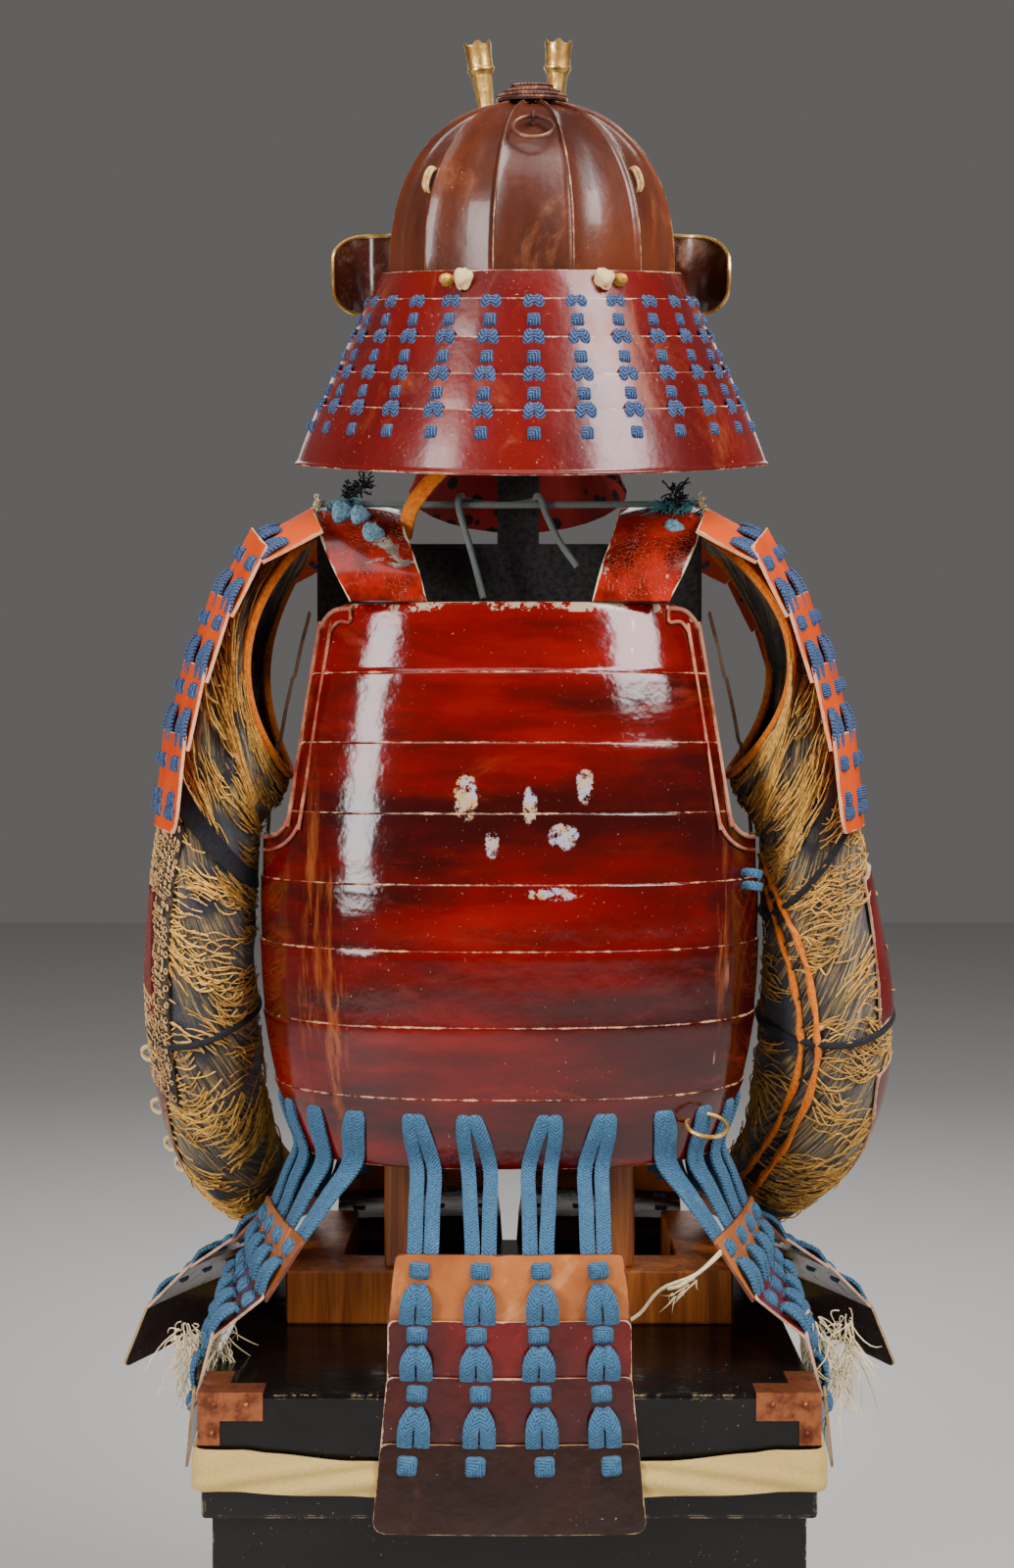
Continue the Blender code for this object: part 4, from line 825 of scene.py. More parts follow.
FINISHES = {key: lacquer(*row, **LACQUER_SURFACES.get(key, {})) for key, row in LACQUERS.items()}
FINISHES |= {key: felt_finish(*row) for key, row in FELTS.items()}
FINISHES |= {
    "cuirass_lacquer": cuirass_finish(),
    "strap_lacquer": strap_finish(),
    "spotted_red": spotted_cloth(),
    "copper": metal("copper", (0.40, 0.13, 0.05), (0.13, 0.035, 0.018), 0.38, 0.85),
    "gilt": metal("gilt", (0.86, 0.56, 0.17), (0.38, 0.20, 0.05), 0.28, 0.95),
    "dull_gold": metal("dull gold", (0.78, 0.50, 0.12), (0.50, 0.26, 0.04), 0.42, 0.6),
    "iron": metal("russet iron", (0.24, 0.095, 0.055), (0.050, 0.018, 0.012), 0.34, 0.6),
    "wood": wood_finish("varnished wood", (0.66, 0.20, 0.036), (0.34, 0.080, 0.014)),
    "blue_braid": braid("blue silk braid", *BLUE),
    "pale_braid": braid("pale blue silk braid", *PALE_BLUE, fleck=0.75),
    "green_cord": twisted("green cord", (0.19, 0.215, 0.20), (0.045, 0.060, 0.055)),
    "brocade": woven("brocade", (0.018, 0.020, 0.036), (0.008, 0.007, 0.011), (0.46, 0.29, 0.085)),
    "mail_cloth": mail("mail on cloth", (0.11, 0.075, 0.055), (0.018, 0.012, 0.010)),
}


# Making pieces


def link(obj):
    bpy.context.scene.collection.objects.link(obj)


class Shape:
    """Points and faces gathered for one mesh. A point carries metres across, down and in from the edge."""

    def __init__(self):
        self.points = []
        self.faces = []
        self.laid = []

    def grid(self, points, laid, wrap=False):
        """Four-sided faces over rows of points. A wrapped grid's rows are rings."""
        rows, columns = len(points), len(points[0])
        first = len(self.points)
        for line, marks in zip(points, laid):
            self.points += [tuple(p) for p in line]
            self.laid += [tuple(m) for m in marks]
        for r in range(rows - 1):
            for c in range(columns if wrap else columns - 1):
                a, b = first + r * columns + c, first + r * columns + (c + 1) % columns
                self.faces.append((a, b, b + columns, a + columns))
        return first

    def close(self, first, rows, sides):
        """Closes both ends of a wrapped grid."""
        self.faces.append(tuple(range(first + sides - 1, first - 1, -1)))
        last = first + (rows - 1) * sides
        self.faces.append(tuple(range(last, last + sides)))

    def dress(self, node, ending, finish, slot, place=ARMOUR_FRAME, sharp=40):
        """The gathered mesh in place of one of the part's solids, named after it."""
        return self.add(node + ending, finish, place, (node,), slot, sharp)

    def add(self, name, finish, place=ARMOUR_FRAME, replaces=(), slot=None, sharp=40):
        """The gathered mesh as a piece that rides on the armour."""
        mesh = bpy.data.meshes.new(name)
        mesh.from_pydata(self.points, [], self.faces)
        carried = mesh.attributes.new("laid", "FLOAT_VECTOR", "POINT")
        carried.data.foreach_set("vector", np.array(self.laid, dtype=np.float32).ravel())
        mesh.transform(place)
        mesh.validate()
        mesh.shade_smooth()
        mesh.set_sharp_from_angle(angle=radians(sharp))
        mesh.materials.append(FINISHES[finish])
        obj = bpy.data.objects.new(name, mesh)
        link(obj)
        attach(obj, "armour")
        if replaces:
            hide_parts(*replaces)
        return obj


def spread(start, end, count):
    return [mix(start, end, k / count) for k in range(count + 1)]


def round_turn(count, whole=360):
    """Angles all the way round, in degrees or in the unit of the whole turn that is given."""
    return spread(0, whole, count)[:-1]


def lengths(points, axis):
    """How far along each row or column of points every point is."""
    steps = np.linalg.norm(np.diff(points, axis=axis), axis=2)
    start = np.zeros_like(np.take(steps, [0], axis=axis))
    return np.concatenate((start, np.cumsum(steps, axis=axis)), axis=axis)


def shell(surface, across, down, thickness, inside, wrap=False, edge=None, shape=None):
    """A thin closed wall whose outer face is surface(u, v), for the given stops of u and v."""
    shape = shape or Shape()
    points = np.array([[tuple(surface(u, v)) for u in across] for v in down])
    if wrap:
        over = (np.roll(points, -1, axis=1) - np.roll(points, 1, axis=1)) / 2
    else:
        over = np.gradient(points, axis=1)
    normals = np.cross(over, np.gradient(points, axis=0))
    normals /= np.maximum(np.linalg.norm(normals, axis=2, keepdims=True), 1e-9)
    turned = np.sum((points - np.array(tuple(inside))) * normals) < 0
    if turned:
        normals = -normals
    x, y = lengths(points, 1), lengths(points, 0)
    if edge:
        rim = np.array([[edge(u, v) for u in across] for v in down])
    elif wrap:
        rim = np.minimum(y, y[-1:] - y)
    else:
        rim = np.minimum(np.minimum(x, x[:, -1:] - x), np.minimum(y, y[-1:] - y))
    laid = np.stack((x, y, rim), axis=2)
    start = len(shape.faces)
    rows, columns = len(down), len(across)
    outer = shape.grid(points, laid, wrap)
    middle = len(shape.faces)
    inner = shape.grid(points - normals * thickness, laid, wrap)
    shape.faces[middle:] = [face[::-1] for face in shape.faces[middle:]]
    rims = [[r * columns + c for c in range(columns)] for r in (0, rows - 1)]
    for line, back in ((rims[0], True), (rims[1], False)):
        pairs = list(zip(line, line[1:])) + ([(line[-1], line[0])] if wrap else [])
        for a, b in pairs:
            quad = (outer + a, outer + b, inner + b, inner + a)
            shape.faces.append(quad[::-1] if back else quad)
    if not wrap:
        for c, back in ((0, False), (columns - 1, True)):
            for r in range(rows - 1):
                a, b = r * columns + c, (r + 1) * columns + c
                quad = (outer + a, outer + b, inner + b, inner + a)
                shape.faces.append(quad[::-1] if back else quad)
    if not turned:
        return shape
    shape.faces[start:] = [face[::-1] for face in shape.faces[start:]]
    return shape


def strip(shape, line, out, width, thickness, sides=8, boxy=0.55):
    """A flat cord along a line of points, its flat side facing out."""
    line = [Vector(p) for p in line]
    outs = out if isinstance(out, (list, tuple)) else [out] * len(line)
    widths = width if isinstance(width, (list, tuple)) else [width] * len(line)
    rings, laid = [], []
    along = 0.0
    for k, point in enumerate(line):
        ahead = (line[min(k + 1, len(line) - 1)] - line[max(k - 1, 0)]).normalized()
        side = ahead.cross(outs[k]).normalized()
        up = side.cross(ahead).normalized()
        if k:
            along += (point - line[k - 1]).length
        ring, marks = [], []
        for s in range(sides):
            a = 2 * pi * (s + 0.5) / sides
            x, z = power(cos(a), boxy) * widths[k] / 2, power(sin(a), boxy) * thickness / 2
            ring.append(point + side * x + up * z)
            marks.append((x, along, 1.0))
        rings.append(ring)
        laid.append(marks)
    first = shape.grid(rings, laid, wrap=True)
    shape.close(first, len(line), sides)


def rope(shape, line, radius, sides=8, closed=False):
    """A round cord or wire along a line of points. Its radius may be a list."""
    line = [Vector(p) for p in line]
    count = len(line)
    radii = radius if isinstance(radius, (list, tuple)) else [radius] * count
    rings, laid = [], []
    along = 0.0
    side = None
    for k, point in enumerate(line):
        after = line[(k + 1) % count] if closed else line[min(k + 1, count - 1)]
        before = line[k - 1] if closed or k else line[0]
        ahead = (after - before).normalized()
        side = (ahead.orthogonal() if side is None else side - ahead * side.dot(ahead)).normalized()
        up = ahead.cross(side)
        if k:
            along += (point - line[k - 1]).length
        angles = [2 * pi * s / sides for s in range(sides)]
        rings.append([point + (side * cos(a) + up * sin(a)) * radii[k] for a in angles])
        laid.append([(a, along, 1.0) for a in angles])
    if closed:
        rings.append(rings[0])
        laid.append(laid[0])
    first = shape.grid(rings, laid, wrap=True)
    if not closed:
        shape.close(first, count, sides)


def smooth_line(points, count):
    """That many steps along a smooth curve through the points."""
    rows = [tuple(p) for p in points]
    return [Vector(between(rows, k / count * (len(rows) - 1))) for k in range(count + 1)]


def knot(shape, centre, out, up, width, height, thick=0.0022):
    """A crossed stitch of flat cord: a square pillow whose plaits run slantwise."""
    side = up.cross(out).normalized()
    steps = 8
    rows, laid = [], []
    for r in range(steps + 1):
        row, marks = [], []
        for c in range(steps + 1):
            u, v = 2 * c / steps - 1, 2 * r / steps - 1
            far = (abs(u) ** 3.6 + abs(v) ** 3.6) ** (1 / 3.6)
            square = max(abs(u), abs(v), 1e-6)
            x, y = u * square / max(far, 1e-6), v * square / max(far, 1e-6)
            pinch = 1 - 0.10 * (1 - abs(x * y)) * max(abs(x), abs(y)) ** 6
            dome = max(0.0, 1 - square**3) ** 0.5
            cross = 0.16 * (abs(x - y) < 0.42) + 0.08 * (abs(x + y) < 0.36)
            point = centre + side * (x * pinch * width / 2) + up * (y * pinch * height / 2)
            row.append(point + out * (thick * (dome * (0.92 + cross) - 0.12)))
            marks.append(((x - y) * width * 0.35, (x + y) * width * 0.35, 1.0))
        rows.append(row)
        laid.append(marks)
    shape.grid(rows, laid)


def cord_pair(shape, top, bottom, out, sideways, width, thick, tuck):
    """Two flat cords that come out of one hole, widen, and go under the next lame side by side."""
    for s in (-1, 1):
        line, widths = [], []
        for t in (0, 0.06, 0.16, 0.32, 0.55, 0.78, 1.0):
            full = min(1.0, 0.50 + 1.5 * t**0.8)
            point = top.lerp(bottom, t) + sideways * (s * width * mix(0.22, 0.54, min(1, 2.2 * t)))
            rise = thick * (-0.9 if t == 0 else 0.10 + 0.75 * sin(pi * min(1, t * 1.10)))
            line.append(point + out * (rise - tuck * t**3))
            widths.append(width * full)
        strip(shape, line, out, widths, thick, 10, 0.75)


def blob(shape, rings):
    """A closed lump of rings that carries no metres."""
    sides = len(rings[0])
    first = shape.grid(rings, [[(0, 0, 1)] * sides for _ in rings], wrap=True)
    shape.close(first, len(rings), sides)


def lump(shape, centre, out, up, sideways, radius, stretch=1.0):
    """A small knotted ball of cord."""
    rings = []
    for e in spread(-pi / 2, pi / 2, 10):
        ring = []
        for a in round_turn(18, 2 * pi):
            r = radius * (1 + 0.13 * sin(2 * a + 3 * e) + 0.10 * cos(3 * a - 2 * e))
            flat = r * max(cos(e), 0.02)
            spot = centre + sideways * (flat * cos(a)) + out * (0.75 * flat * sin(a))
            ring.append(spot + up * (stretch * r * sin(e)))
        rings.append(ring)
    blob(shape, rings)


# Cuirass


def plate_edges(z):
    """How far a height is from the nearest edge of its plate."""
    return min(abs(z - row[0]) for row in CUIRASS_ROWS)


def on_cuirass(x, z, out, front=False):
    """The point on the cuirass at that x and height."""
    half_width = cuirass_row(z)[0]
    angle = degrees(asin(power(min(1, abs(x) / half_width), CUIRASS_SQUARENESS / 2)))
    angle = copysign(angle, x)
    return cuirass_point(180 - angle if front else angle, z, out)


def cuirass_heights():
    """Heights down the plates, close together at their edges, and how far each stands out."""
    stops = []
    for upper, lower in zip(CUIRASS_ROWS, CUIRASS_ROWS[1:]):
        top, bottom = upper[0], lower[0]
        stops.append((top + 0.0002, 0.0003))
        stops.append((top - 0.0003, PLATE_LAP))
        stops.append((top - 0.0016, PLATE_LAP + 0.0003))
        for t in (0.15, 0.35, 0.55, 0.75, 0.92):
            stops.append((mix(top, bottom, t), PLATE_LAP * (1 - t) + 0.0007 * sin(pi * t)))
    stops.append((CUIRASS_ROWS[-1][0] + 0.0015, 0.0004))
    stops.append((CUIRASS_ROWS[-1][0], 0.0))
    return stops


def arm_bead(sign, radius, offset, front):
    """A line on the cuirass beside an armhole, so far in from its edge."""
    top, bottom, floor, shoulder = FRONT_ARMHOLE if front else BACK_ARMHOLE
    inner = armhole_outline(sign, top, bottom, floor, shoulder)[1:-1]
    inner = [(x, min(z, CUIRASS_ROWS[0][0] - 0.002)) for x, z in inner]
    shifted = []
    out = radius * 0.5 + PLATE_LAP * 1.05
    for k, (x, z) in enumerate(inner):
        x0, z0 = inner[max(k - 1, 0)]
        x1, z1 = inner[min(k + 1, len(inner) - 1)]
        way = Vector((x1 - x0, 0, z1 - z0)).normalized()
        away = Vector((-way.z, 0, way.x)) * sign
        shifted.append(on_cuirass(x + away.x * offset, z + away.z * offset, out, front))
    return shifted


# Degrees left open on each side of a side seam, half the width of the neck's opening, and the lines
# along the armholes, as distance in from the edge and radius
SEAM_SLIT, NECK_HALF_WIDTH = 0.07, 0.085
ARMHOLE_LINES = ((0.0012, 0.0017), (0.0105, 0.0013))
# Where a cutter is, and how far it reaches to each side of there
CUTTER_Y, CUTTER_DEPTHS = 0.15, (-0.15, 0.149)


def build_cuirass():
    stops = cuirass_heights()
    for name, start, end, front in (
        ("cuirass_back", -90 + SEAM_SLIT, 90 - SEAM_SLIT, False),
        ("cuirass_front", 90 + SEAM_SLIT, 270 - SEAM_SLIT, True),
    ):
        across = spread(start, end, 72)
        shape = shell(
            lambda angle, stop: cuirass_point(angle, stop[0], stop[1]),
            across,
            stops,
            CUIRASS_WALL,
            (0, SEAM_Y, 0.8),
            edge=lambda angle, stop: plate_edges(stop[0]),
        )
        piece = shape.dress(name, "_plates", "cuirass_lacquer", "red_lacquer", sharp=50)
        for sign in (-1, 1):
            outline = armhole_outline(sign, *(FRONT_ARMHOLE if front else BACK_ARMHOLE))
            cut_away(piece, outline, CUTTER_Y if front else -CUTTER_Y)
        if front:
            low, high = 1.0, 1.1
            dip = arc((0, low), 0.062, 200, 340, 8)
            side = NECK_HALF_WIDTH
            cut_away(piece, [(-side, high), (-side, low), *dip, (side, low), (side, high)], CUTTER_Y)

    beads = Shape()
    for front in (False, True):
        for sign in (-1, 1):
            for offset, radius in ARMHOLE_LINES:
                line = smooth_line(arm_bead(sign, radius + 0.0020 * (offset > 0.005), offset, front), 60)
                rope(beads, line, radius, 8)
    beads.add("armhole_beads", "bead_lacquer", slot="red_lacquer")

    for side, sign in SIDES:
        build_strap(side, sign)


def cut_away(piece, outline, y):
    """Cuts a flat outline, in X and Z, through the piece near that y."""
    count = len(outline)
    corners = [(x, y + SLIDE_Y + SEAM_Y + d, z) for d in CUTTER_DEPTHS for x, z in outline]
    faces = [tuple(range(count)), tuple(range(2 * count - 1, count - 1, -1))]
    faces += [(k, k + count, (k + 1) % count + count, (k + 1) % count) for k in range(count)]
    mesh = bpy.data.meshes.new("cutter")
    mesh.from_pydata(corners, [], faces)
    form = bmesh.new()
    form.from_mesh(mesh)
    bmesh.ops.recalc_face_normals(form, faces=form.faces)
    form.to_mesh(mesh)
    form.free()
    cutter = bpy.data.objects.new("cutter", mesh)
    link(cutter)
    modifier = piece.modifiers.new("cut", "BOOLEAN")
    modifier.operation = "DIFFERENCE"
    modifier.solver = "MANIFOLD"
    modifier.object = cutter
    bpy.context.view_layer.update()
    graph = bpy.context.evaluated_depsgraph_get()
    cut = bpy.data.meshes.new_from_object(piece.evaluated_get(graph))
    piece.modifiers.clear()
    piece.data = cut
    bpy.data.objects.remove(cutter)


def build_strap(side, sign):
    def surface(across, down):
        inner, outer, y, z = between(STRAP_ROWS, down * (len(STRAP_ROWS) - 1))
        crown = STRAP_CROWN * (1 - (2 * across - 1) ** 2)
        return Vector((sign * mix(inner, outer, across), y, z + crown * sin(pi * down)))

    def long_sides(across, down):
        return 0.055 * min(across, 1 - across)

    inside = (sign * 0.10, 0, 0.9)
    shape = shell(surface, spread(0, 1, 14), spread(0, 1, 60), STRAP_WALL, inside, edge=long_sides)
    shape.dress(f"shoulder_strap_{side}", "_crackled", "strap_lacquer", "red_lacquer")


# Helmet


# Degrees from a rib at which each plate of the bowl has a stop, and half a rib's width
BOWL_STOPS = (-2.6, -1.7, -0.9, 0.0, 0.5, 0.9, 6, 11, 15, 19, 24)
RIB_HALF_ANGLE = 1.5


def build_bowl():
    step = 360 / BOWL_PLATES
    across = [plate * step + step / 2 + stop for plate in range(BOWL_PLATES) for stop in BOWL_STOPS]
    lifts = [-1.0] + spread(0, CROWN_HOLE_LIFT, 24)

    def from_rib(angle):
        place = (angle - step / 2) % step
        return min(place, step - place)

    def surface(angle, lift):
        place, half = from_rib(angle), RIB_HALF_ANGLE
        rib = RIB_HEIGHT * max(0.0, 1 - (place / half) ** 2) if place < half else 0.0
        dish = -0.0007 * sin(pi * min(1, max(0, place - half) / (step / 2)))
        if lift < 0:
            return bowl_point(angle, 0, dish) - Vector((0, 0, BOWL_SKIRT))
        return bowl_point(angle, lift, rib + dish)

    def rib_edge(angle, _):
        return from_rib(angle) * 0.0018

    shape = shell(surface, across, lifts, BOWL_WALL, (0, 0, 0), wrap=True, edge=rib_edge)
    shape.dress("helmet_bowl", "_ribbed", "brown_lacquer", "brown_lacquer", HELMET_FRAME, 60)


# The crown's outline, as radius and height, and its rings of beads, as radius, height and a bead's radius
CROWN_PROFILE = (
    (0.0256, -0.0008), (0.0262, 0.0008), (0.0250, 0.0024), (0.0226, 0.0028), (0.0214, 0.0040),
    (0.0208, 0.0054), (0.0186, 0.0060), (0.0174, 0.0068), (0.0168, 0.0086), (0.0130, 0.0100),
    (0.0112, 0.0112), (0.0060, 0.0118), (0.0004, 0.0120),
)
CROWN_BEADS = ((0.0246, 0.0030, 0.0013), (0.0198, 0.0064, 0.0012), (0.0146, 0.0104, 0.0011))


def build_crown():
    """The stepped boss, with a beaded ring on each step."""
    seat = BOWL_HEIGHT + RIB_HEIGHT
    shape = Shape()

    def surface(angle, row):
        (radius, height), a = row, radians(angle)
        return Vector((radius * sin(a), -radius * cos(a), seat + height))

    shell(surface, round_turn(64), CROWN_PROFILE, 0.0008, (0, 0, seat - 0.05), wrap=True, shape=shape)
    for radius, height, bead in CROWN_BEADS:
        count = int(2 * pi * radius / (bead * 2.3))
        for k in range(count):
            a = 2 * pi * k / count
            ball(shape, Vector((radius * sin(a), radius * cos(a), seat + height)), bead)
    shape.dress("helmet_crown", "_beaded", "iron", "iron", HELMET_FRAME)


def ball(shape, centre, radius, squash=1.0):
    rings = []
    for lift in (-90, -50, -15, 20, 55, 90):
        e = radians(lift)
        r, z = max(radius * cos(e), radius * 0.02), radius * squash * sin(e)
        around = round_turn(8, 2 * pi)
        rings.append([centre + Vector((r * cos(a), r * sin(a), z)) for a in around])
    blob(shape, rings)


LACING_COLUMNS, LACING_REACH = 17, 0.97
# Stops down a lame, close together at the ridge along its lower edge
NECK_LAME_STOPS = (0, 0.02, 0.10, 0.3, 0.5, 0.7, 0.86, 0.895, 0.915, 0.935, 0.96, 0.985, 1.0)
NECK_LAME_HEIGHT = 0.0285  # by which a lap becomes a share of a lame
# A knot's width, height and thickness, and the width and thickness of each cord of a pair
NECK_KNOT, NECK_PAIR = (0.0108, 0.0106, 0.0028), (0.0073, 0.0030)


def lame_out(lame, t):
    """How far the lame stands outside the neck guard's own surface at t lames down."""
    top = lame - (NECK_LAME_LAP / NECK_LAME_HEIGHT if lame else 0)
    share = (t - top) / (lame + 1 - top)
    rise = (NECK_LAME_WALL + 2 * GAP) if lame else 0
    return rise * (1 - share) * 1.25 + 0.0002


def build_neck_guard():
    across = spread(-1, 1, 110)
    lacing = Shape()
    for lame in range(5):
        top = lame - (NECK_LAME_LAP / NECK_LAME_HEIGHT if lame else 0)

        def surface(x, share):
            t = mix(top, lame + 1, share)
            rim = 0.0014 * min(1, max(0, share - 0.90) / 0.03) - 0.0006 * max(0, share - 0.97) / 0.03
            rim += 0.0004 * sin(pi * share)
            return neck_guard_point(t, x, lame_out(lame, t) + rim)

        shape = shell(surface, across, NECK_LAME_STOPS, NECK_LAME_WALL, (0, 0, 0.02))
        node = f"neck_guard_lame_{lame + 1}"
        shape.dress(node, "_fine", "neck_lacquer", "red_lacquer", HELMET_FRAME, 50)
        for column in range(LACING_COLUMNS):
            x = mix(-LACING_REACH, LACING_REACH, column / (LACING_COLUMNS - 1))
            if lame:
                centre, out, up, _ = neck_place(lame, x, 0.30 if lame < 4 else 0.24)
                knot(lacing, centre, out, up, *NECK_KNOT)
            if lame < 4:
                start, out, up, sideways = neck_place(lame, x, 0.60 if lame else 0.72)
                end = neck_place(lame, x, 1.03)[0]
                cord_pair(lacing, start, end, out, sideways, *NECK_PAIR, -0.0002)
    lacing.add("neck_guard_lacing", "blue_braid", HELMET_FRAME)


def turned_to(way, side):
    """The direction, reversed if it points away from that side."""
    return -way if way.dot(side) < 0 else way


def neck_place(lame, x, share):
    """A place on a lame's outer face, with the directions out of it, up it and along it."""
    t = lame + share
    centre = neck_guard_point(t, x, lame_out(lame, t))
    up = (neck_guard_point(t - 0.1, x) - neck_guard_point(t + 0.1, x)).normalized()
    sideways = (neck_guard_point(t, x + 0.01) - neck_guard_point(t, x - 0.01)).normalized()
    return centre, turned_to(sideways.cross(up).normalized(), centre), up, sideways


TURNBACK_HALF_HEIGHT, TURNBACK_CURL = 0.030, 0.004


def build_turnbacks():
    plan = TURNBACK_PLAN
    rims = Shape()
    for side, sign in SIDES:

        def surface(t, up):
            x, y = between(plan, t * (len(plan) - 1))
            height = 1 - 0.55 * max(0, t - 0.45) ** 2 / 0.3025
            return Vector((sign * x, y + TURNBACK_CURL * up * up, up * TURNBACK_HALF_HEIGHT * height))

        shape = shell(surface, spread(0, 1, 40), spread(-1, 1, 24), 0.0018, (0, 0.2, 0))
        shape.dress(f"turnback_{side}", "_fine", "dark_brown_lacquer", "brown_lacquer", HELMET_FRAME)
        edge = [surface(t, 1) for t in spread(0, 1, 30)] + [surface(1, u) for u in spread(1, -1, 16)]
        edge += [surface(t, -1) for t in spread(1, 0, 30)]
        rope(rims, edge, 0.0016, 6)
    rims.add("turnback_rims", "gilt", HELMET_FRAME, slot="gilt")


# Degrees round the bowl between which the visor runs, how far it stands out, and how far it dips
VISOR_ANGLES, VISOR_REACH, VISOR_DIP = (128, 232), 0.036, 0.020


def build_visor():
    def surface(column, reach):
        lip = sin(pi * min(max(column, 0), 1)) ** 0.6
        point = bowl_point(mix(*VISOR_ANGLES, column), 0, out=0.0032 + VISOR_REACH * reach * lip)
        point.z = -0.001 - VISOR_DIP * reach * lip
        return point

    shape = shell(surface, spread(0, 1, 60), spread(0, 1, 10), 0.0018, (0, 0, -1))
    shape.dress("helmet_visor", "_fine", "brown_lacquer", "brown_lacquer", HELMET_FRAME)


# Shoulder guards


def guard_frame(sign, lame, share, y):
    """A place on a shoulder guard's lame and the directions out of it and up it."""
    line = SHOULDER_GUARD_ROWS
    (x0, z0), (x1, z1) = line[lame], line[lame + 1]
    along = Vector((x1 - x0, 0, z1 - z0))
    length = along.length
    along.normalize()
    start = -SHOULDER_GUARD_LAP if lame else 0
    out = (shoulder_guard_out(lame) * (1 - share) + shoulder_guard_out(lame + 1) * share).normalized()
    rise = (SHOULDER_GUARD_WALL + 2 * GAP) * 1.25 * (1 - share) if lame else 0
    width = SHOULDER_GUARD_WIDTH * (0.92 + 0.08 * (lame + share) / 5)
    point = Vector((x0, 0.004, z0)) + along * mix(start, length, share)
    point += out * (rise - SHOULDER_GUARD_BEND * y * y)
    point.y += y * width / 2
    slant = Vector((0, 1, 0)) * 1.0 - out * (4 * SHOULDER_GUARD_BEND * y / width)
    face_out = turned_to(slant.normalized().cross(along).normalized(), out)
    flip = Vector((sign, 1, 1))
    return point * flip, face_out * flip, -along * flip, slant.normalized() * flip


# Stops down a lame, and the sizes of its knots, of the last lame's own knots and of its cords
GUARD_STOPS = (0, 0.04, 0.2, 0.4, 0.6, 0.8, 0.93, 1.0)
GUARD_KNOT, GUARD_LAST_KNOT = (0.0160, 0.0130, 0.0036), (0.0130, 0.0120, 0.0034)
GUARD_PAIR = (0.0098, 0.0038)
GUARD_CORNER = 0.045  # the share by which the last lame narrows at its foot
# The last lame's own knots: how far down it, and how far beside the column
GUARD_LAST_KNOTS = ((0.66, 0.012), (0.80, -0.012), (0.80, 0.036))


def build_shoulder_guards():
    places = spread(-0.90, 0.90, 6)
    for side, sign in SIDES:
        lacing = Shape()
        for lame in range(5):
            last = lame == 4

            def surface(y, share):
                corner = GUARD_CORNER * max(0.0, (share - 0.80) / 0.20) ** 2 if last else 0.0
                return guard_frame(sign, lame, share, y * (1 - corner))[0]

            shape = shell(surface, spread(-1, 1, 48), GUARD_STOPS, SHOULDER_GUARD_WALL, (0, 0, 0.8))
            node = f"shoulder_guard_{side}_lame_{lame + 1}"
            shape.dress(node, "_fine", "orange_lacquer", "orange_lacquer", sharp=50)
            for y in places:
                if lame:
                    centre, out, up, _ = guard_frame(sign, lame, 0.30, y)
                    knot(lacing, centre, out, up, *GUARD_KNOT)
                if last:
                    for share, lean in GUARD_LAST_KNOTS:
                        centre, out, up, _ = guard_frame(sign, lame, share, y + lean)
                        knot(lacing, centre, out, up, *GUARD_LAST_KNOT)
                else:
                    start, out, up, sideways = guard_frame(sign, lame, 0.52, y)
                    end = guard_frame(sign, lame, 0.99, y)[0] + out * 0.0006
                    cord_pair(lacing, start, end, out, sideways, *GUARD_PAIR, 0.0)
        lacing.add(f"shoulder_guard_{side}_lacing", "blue_braid")


# Tassets

# Each lame's finish and material slot, from the top, and where its knots are across it
LAME_FINISHES = (
    ("tan_lacquer", "orange_lacquer"),
    ("dark_lacquer", "red_lacquer"),
    ("darker_lacquer", "red_lacquer"),
    ("black_brown_lacquer", "brown_lacquer"),
)
KNOT_PLACES = (-0.76, -0.253, 0.253, 0.76)
# Stops down a lame, close together at its edges
LAME_STOPS = (0, 0.005, 0.02, 0.05, 0.1, 0.3, 0.5, 0.7, 0.80, 0.88, 0.94, 0.98, 1.0)
TASSET_KNOT, TASSET_LAST_KNOT = (0.0152, 0.0125, 0.0042), (0.0152, 0.0150, 0.0042)
TASSET_PAIR = (0.0108, 0.0046)
# Rounding of a lame's upper edge, and of its lower one where it is the last
UPPER_ROUNDING, LOWER_ROUNDING = 0.0040, 0.008


def tasset_frame(edges, side, lame, share, across, inward=0.0):
    """A place on a lame and the directions out of it, up it and along it."""
    row = tuple(mix(a, b, share) for a, b in zip(edges[lame], edges[lame + 1]))
    point = tasset_point(side, row, across, inward)
    above, below = (tasset_point(side, edge, across) for edge in edges[lame : lame + 2])
    right, left = (tasset_point(side, row, across + step) for step in (0.05, -0.05))
    up, sideways = (above - below).normalized(), (right - left).normalized()
    a = radians(row[3])
    out = turned_to(sideways.cross(up).normalized(), Vector((side * sin(a), -cos(a), 0)))
    return point, out, up, sideways


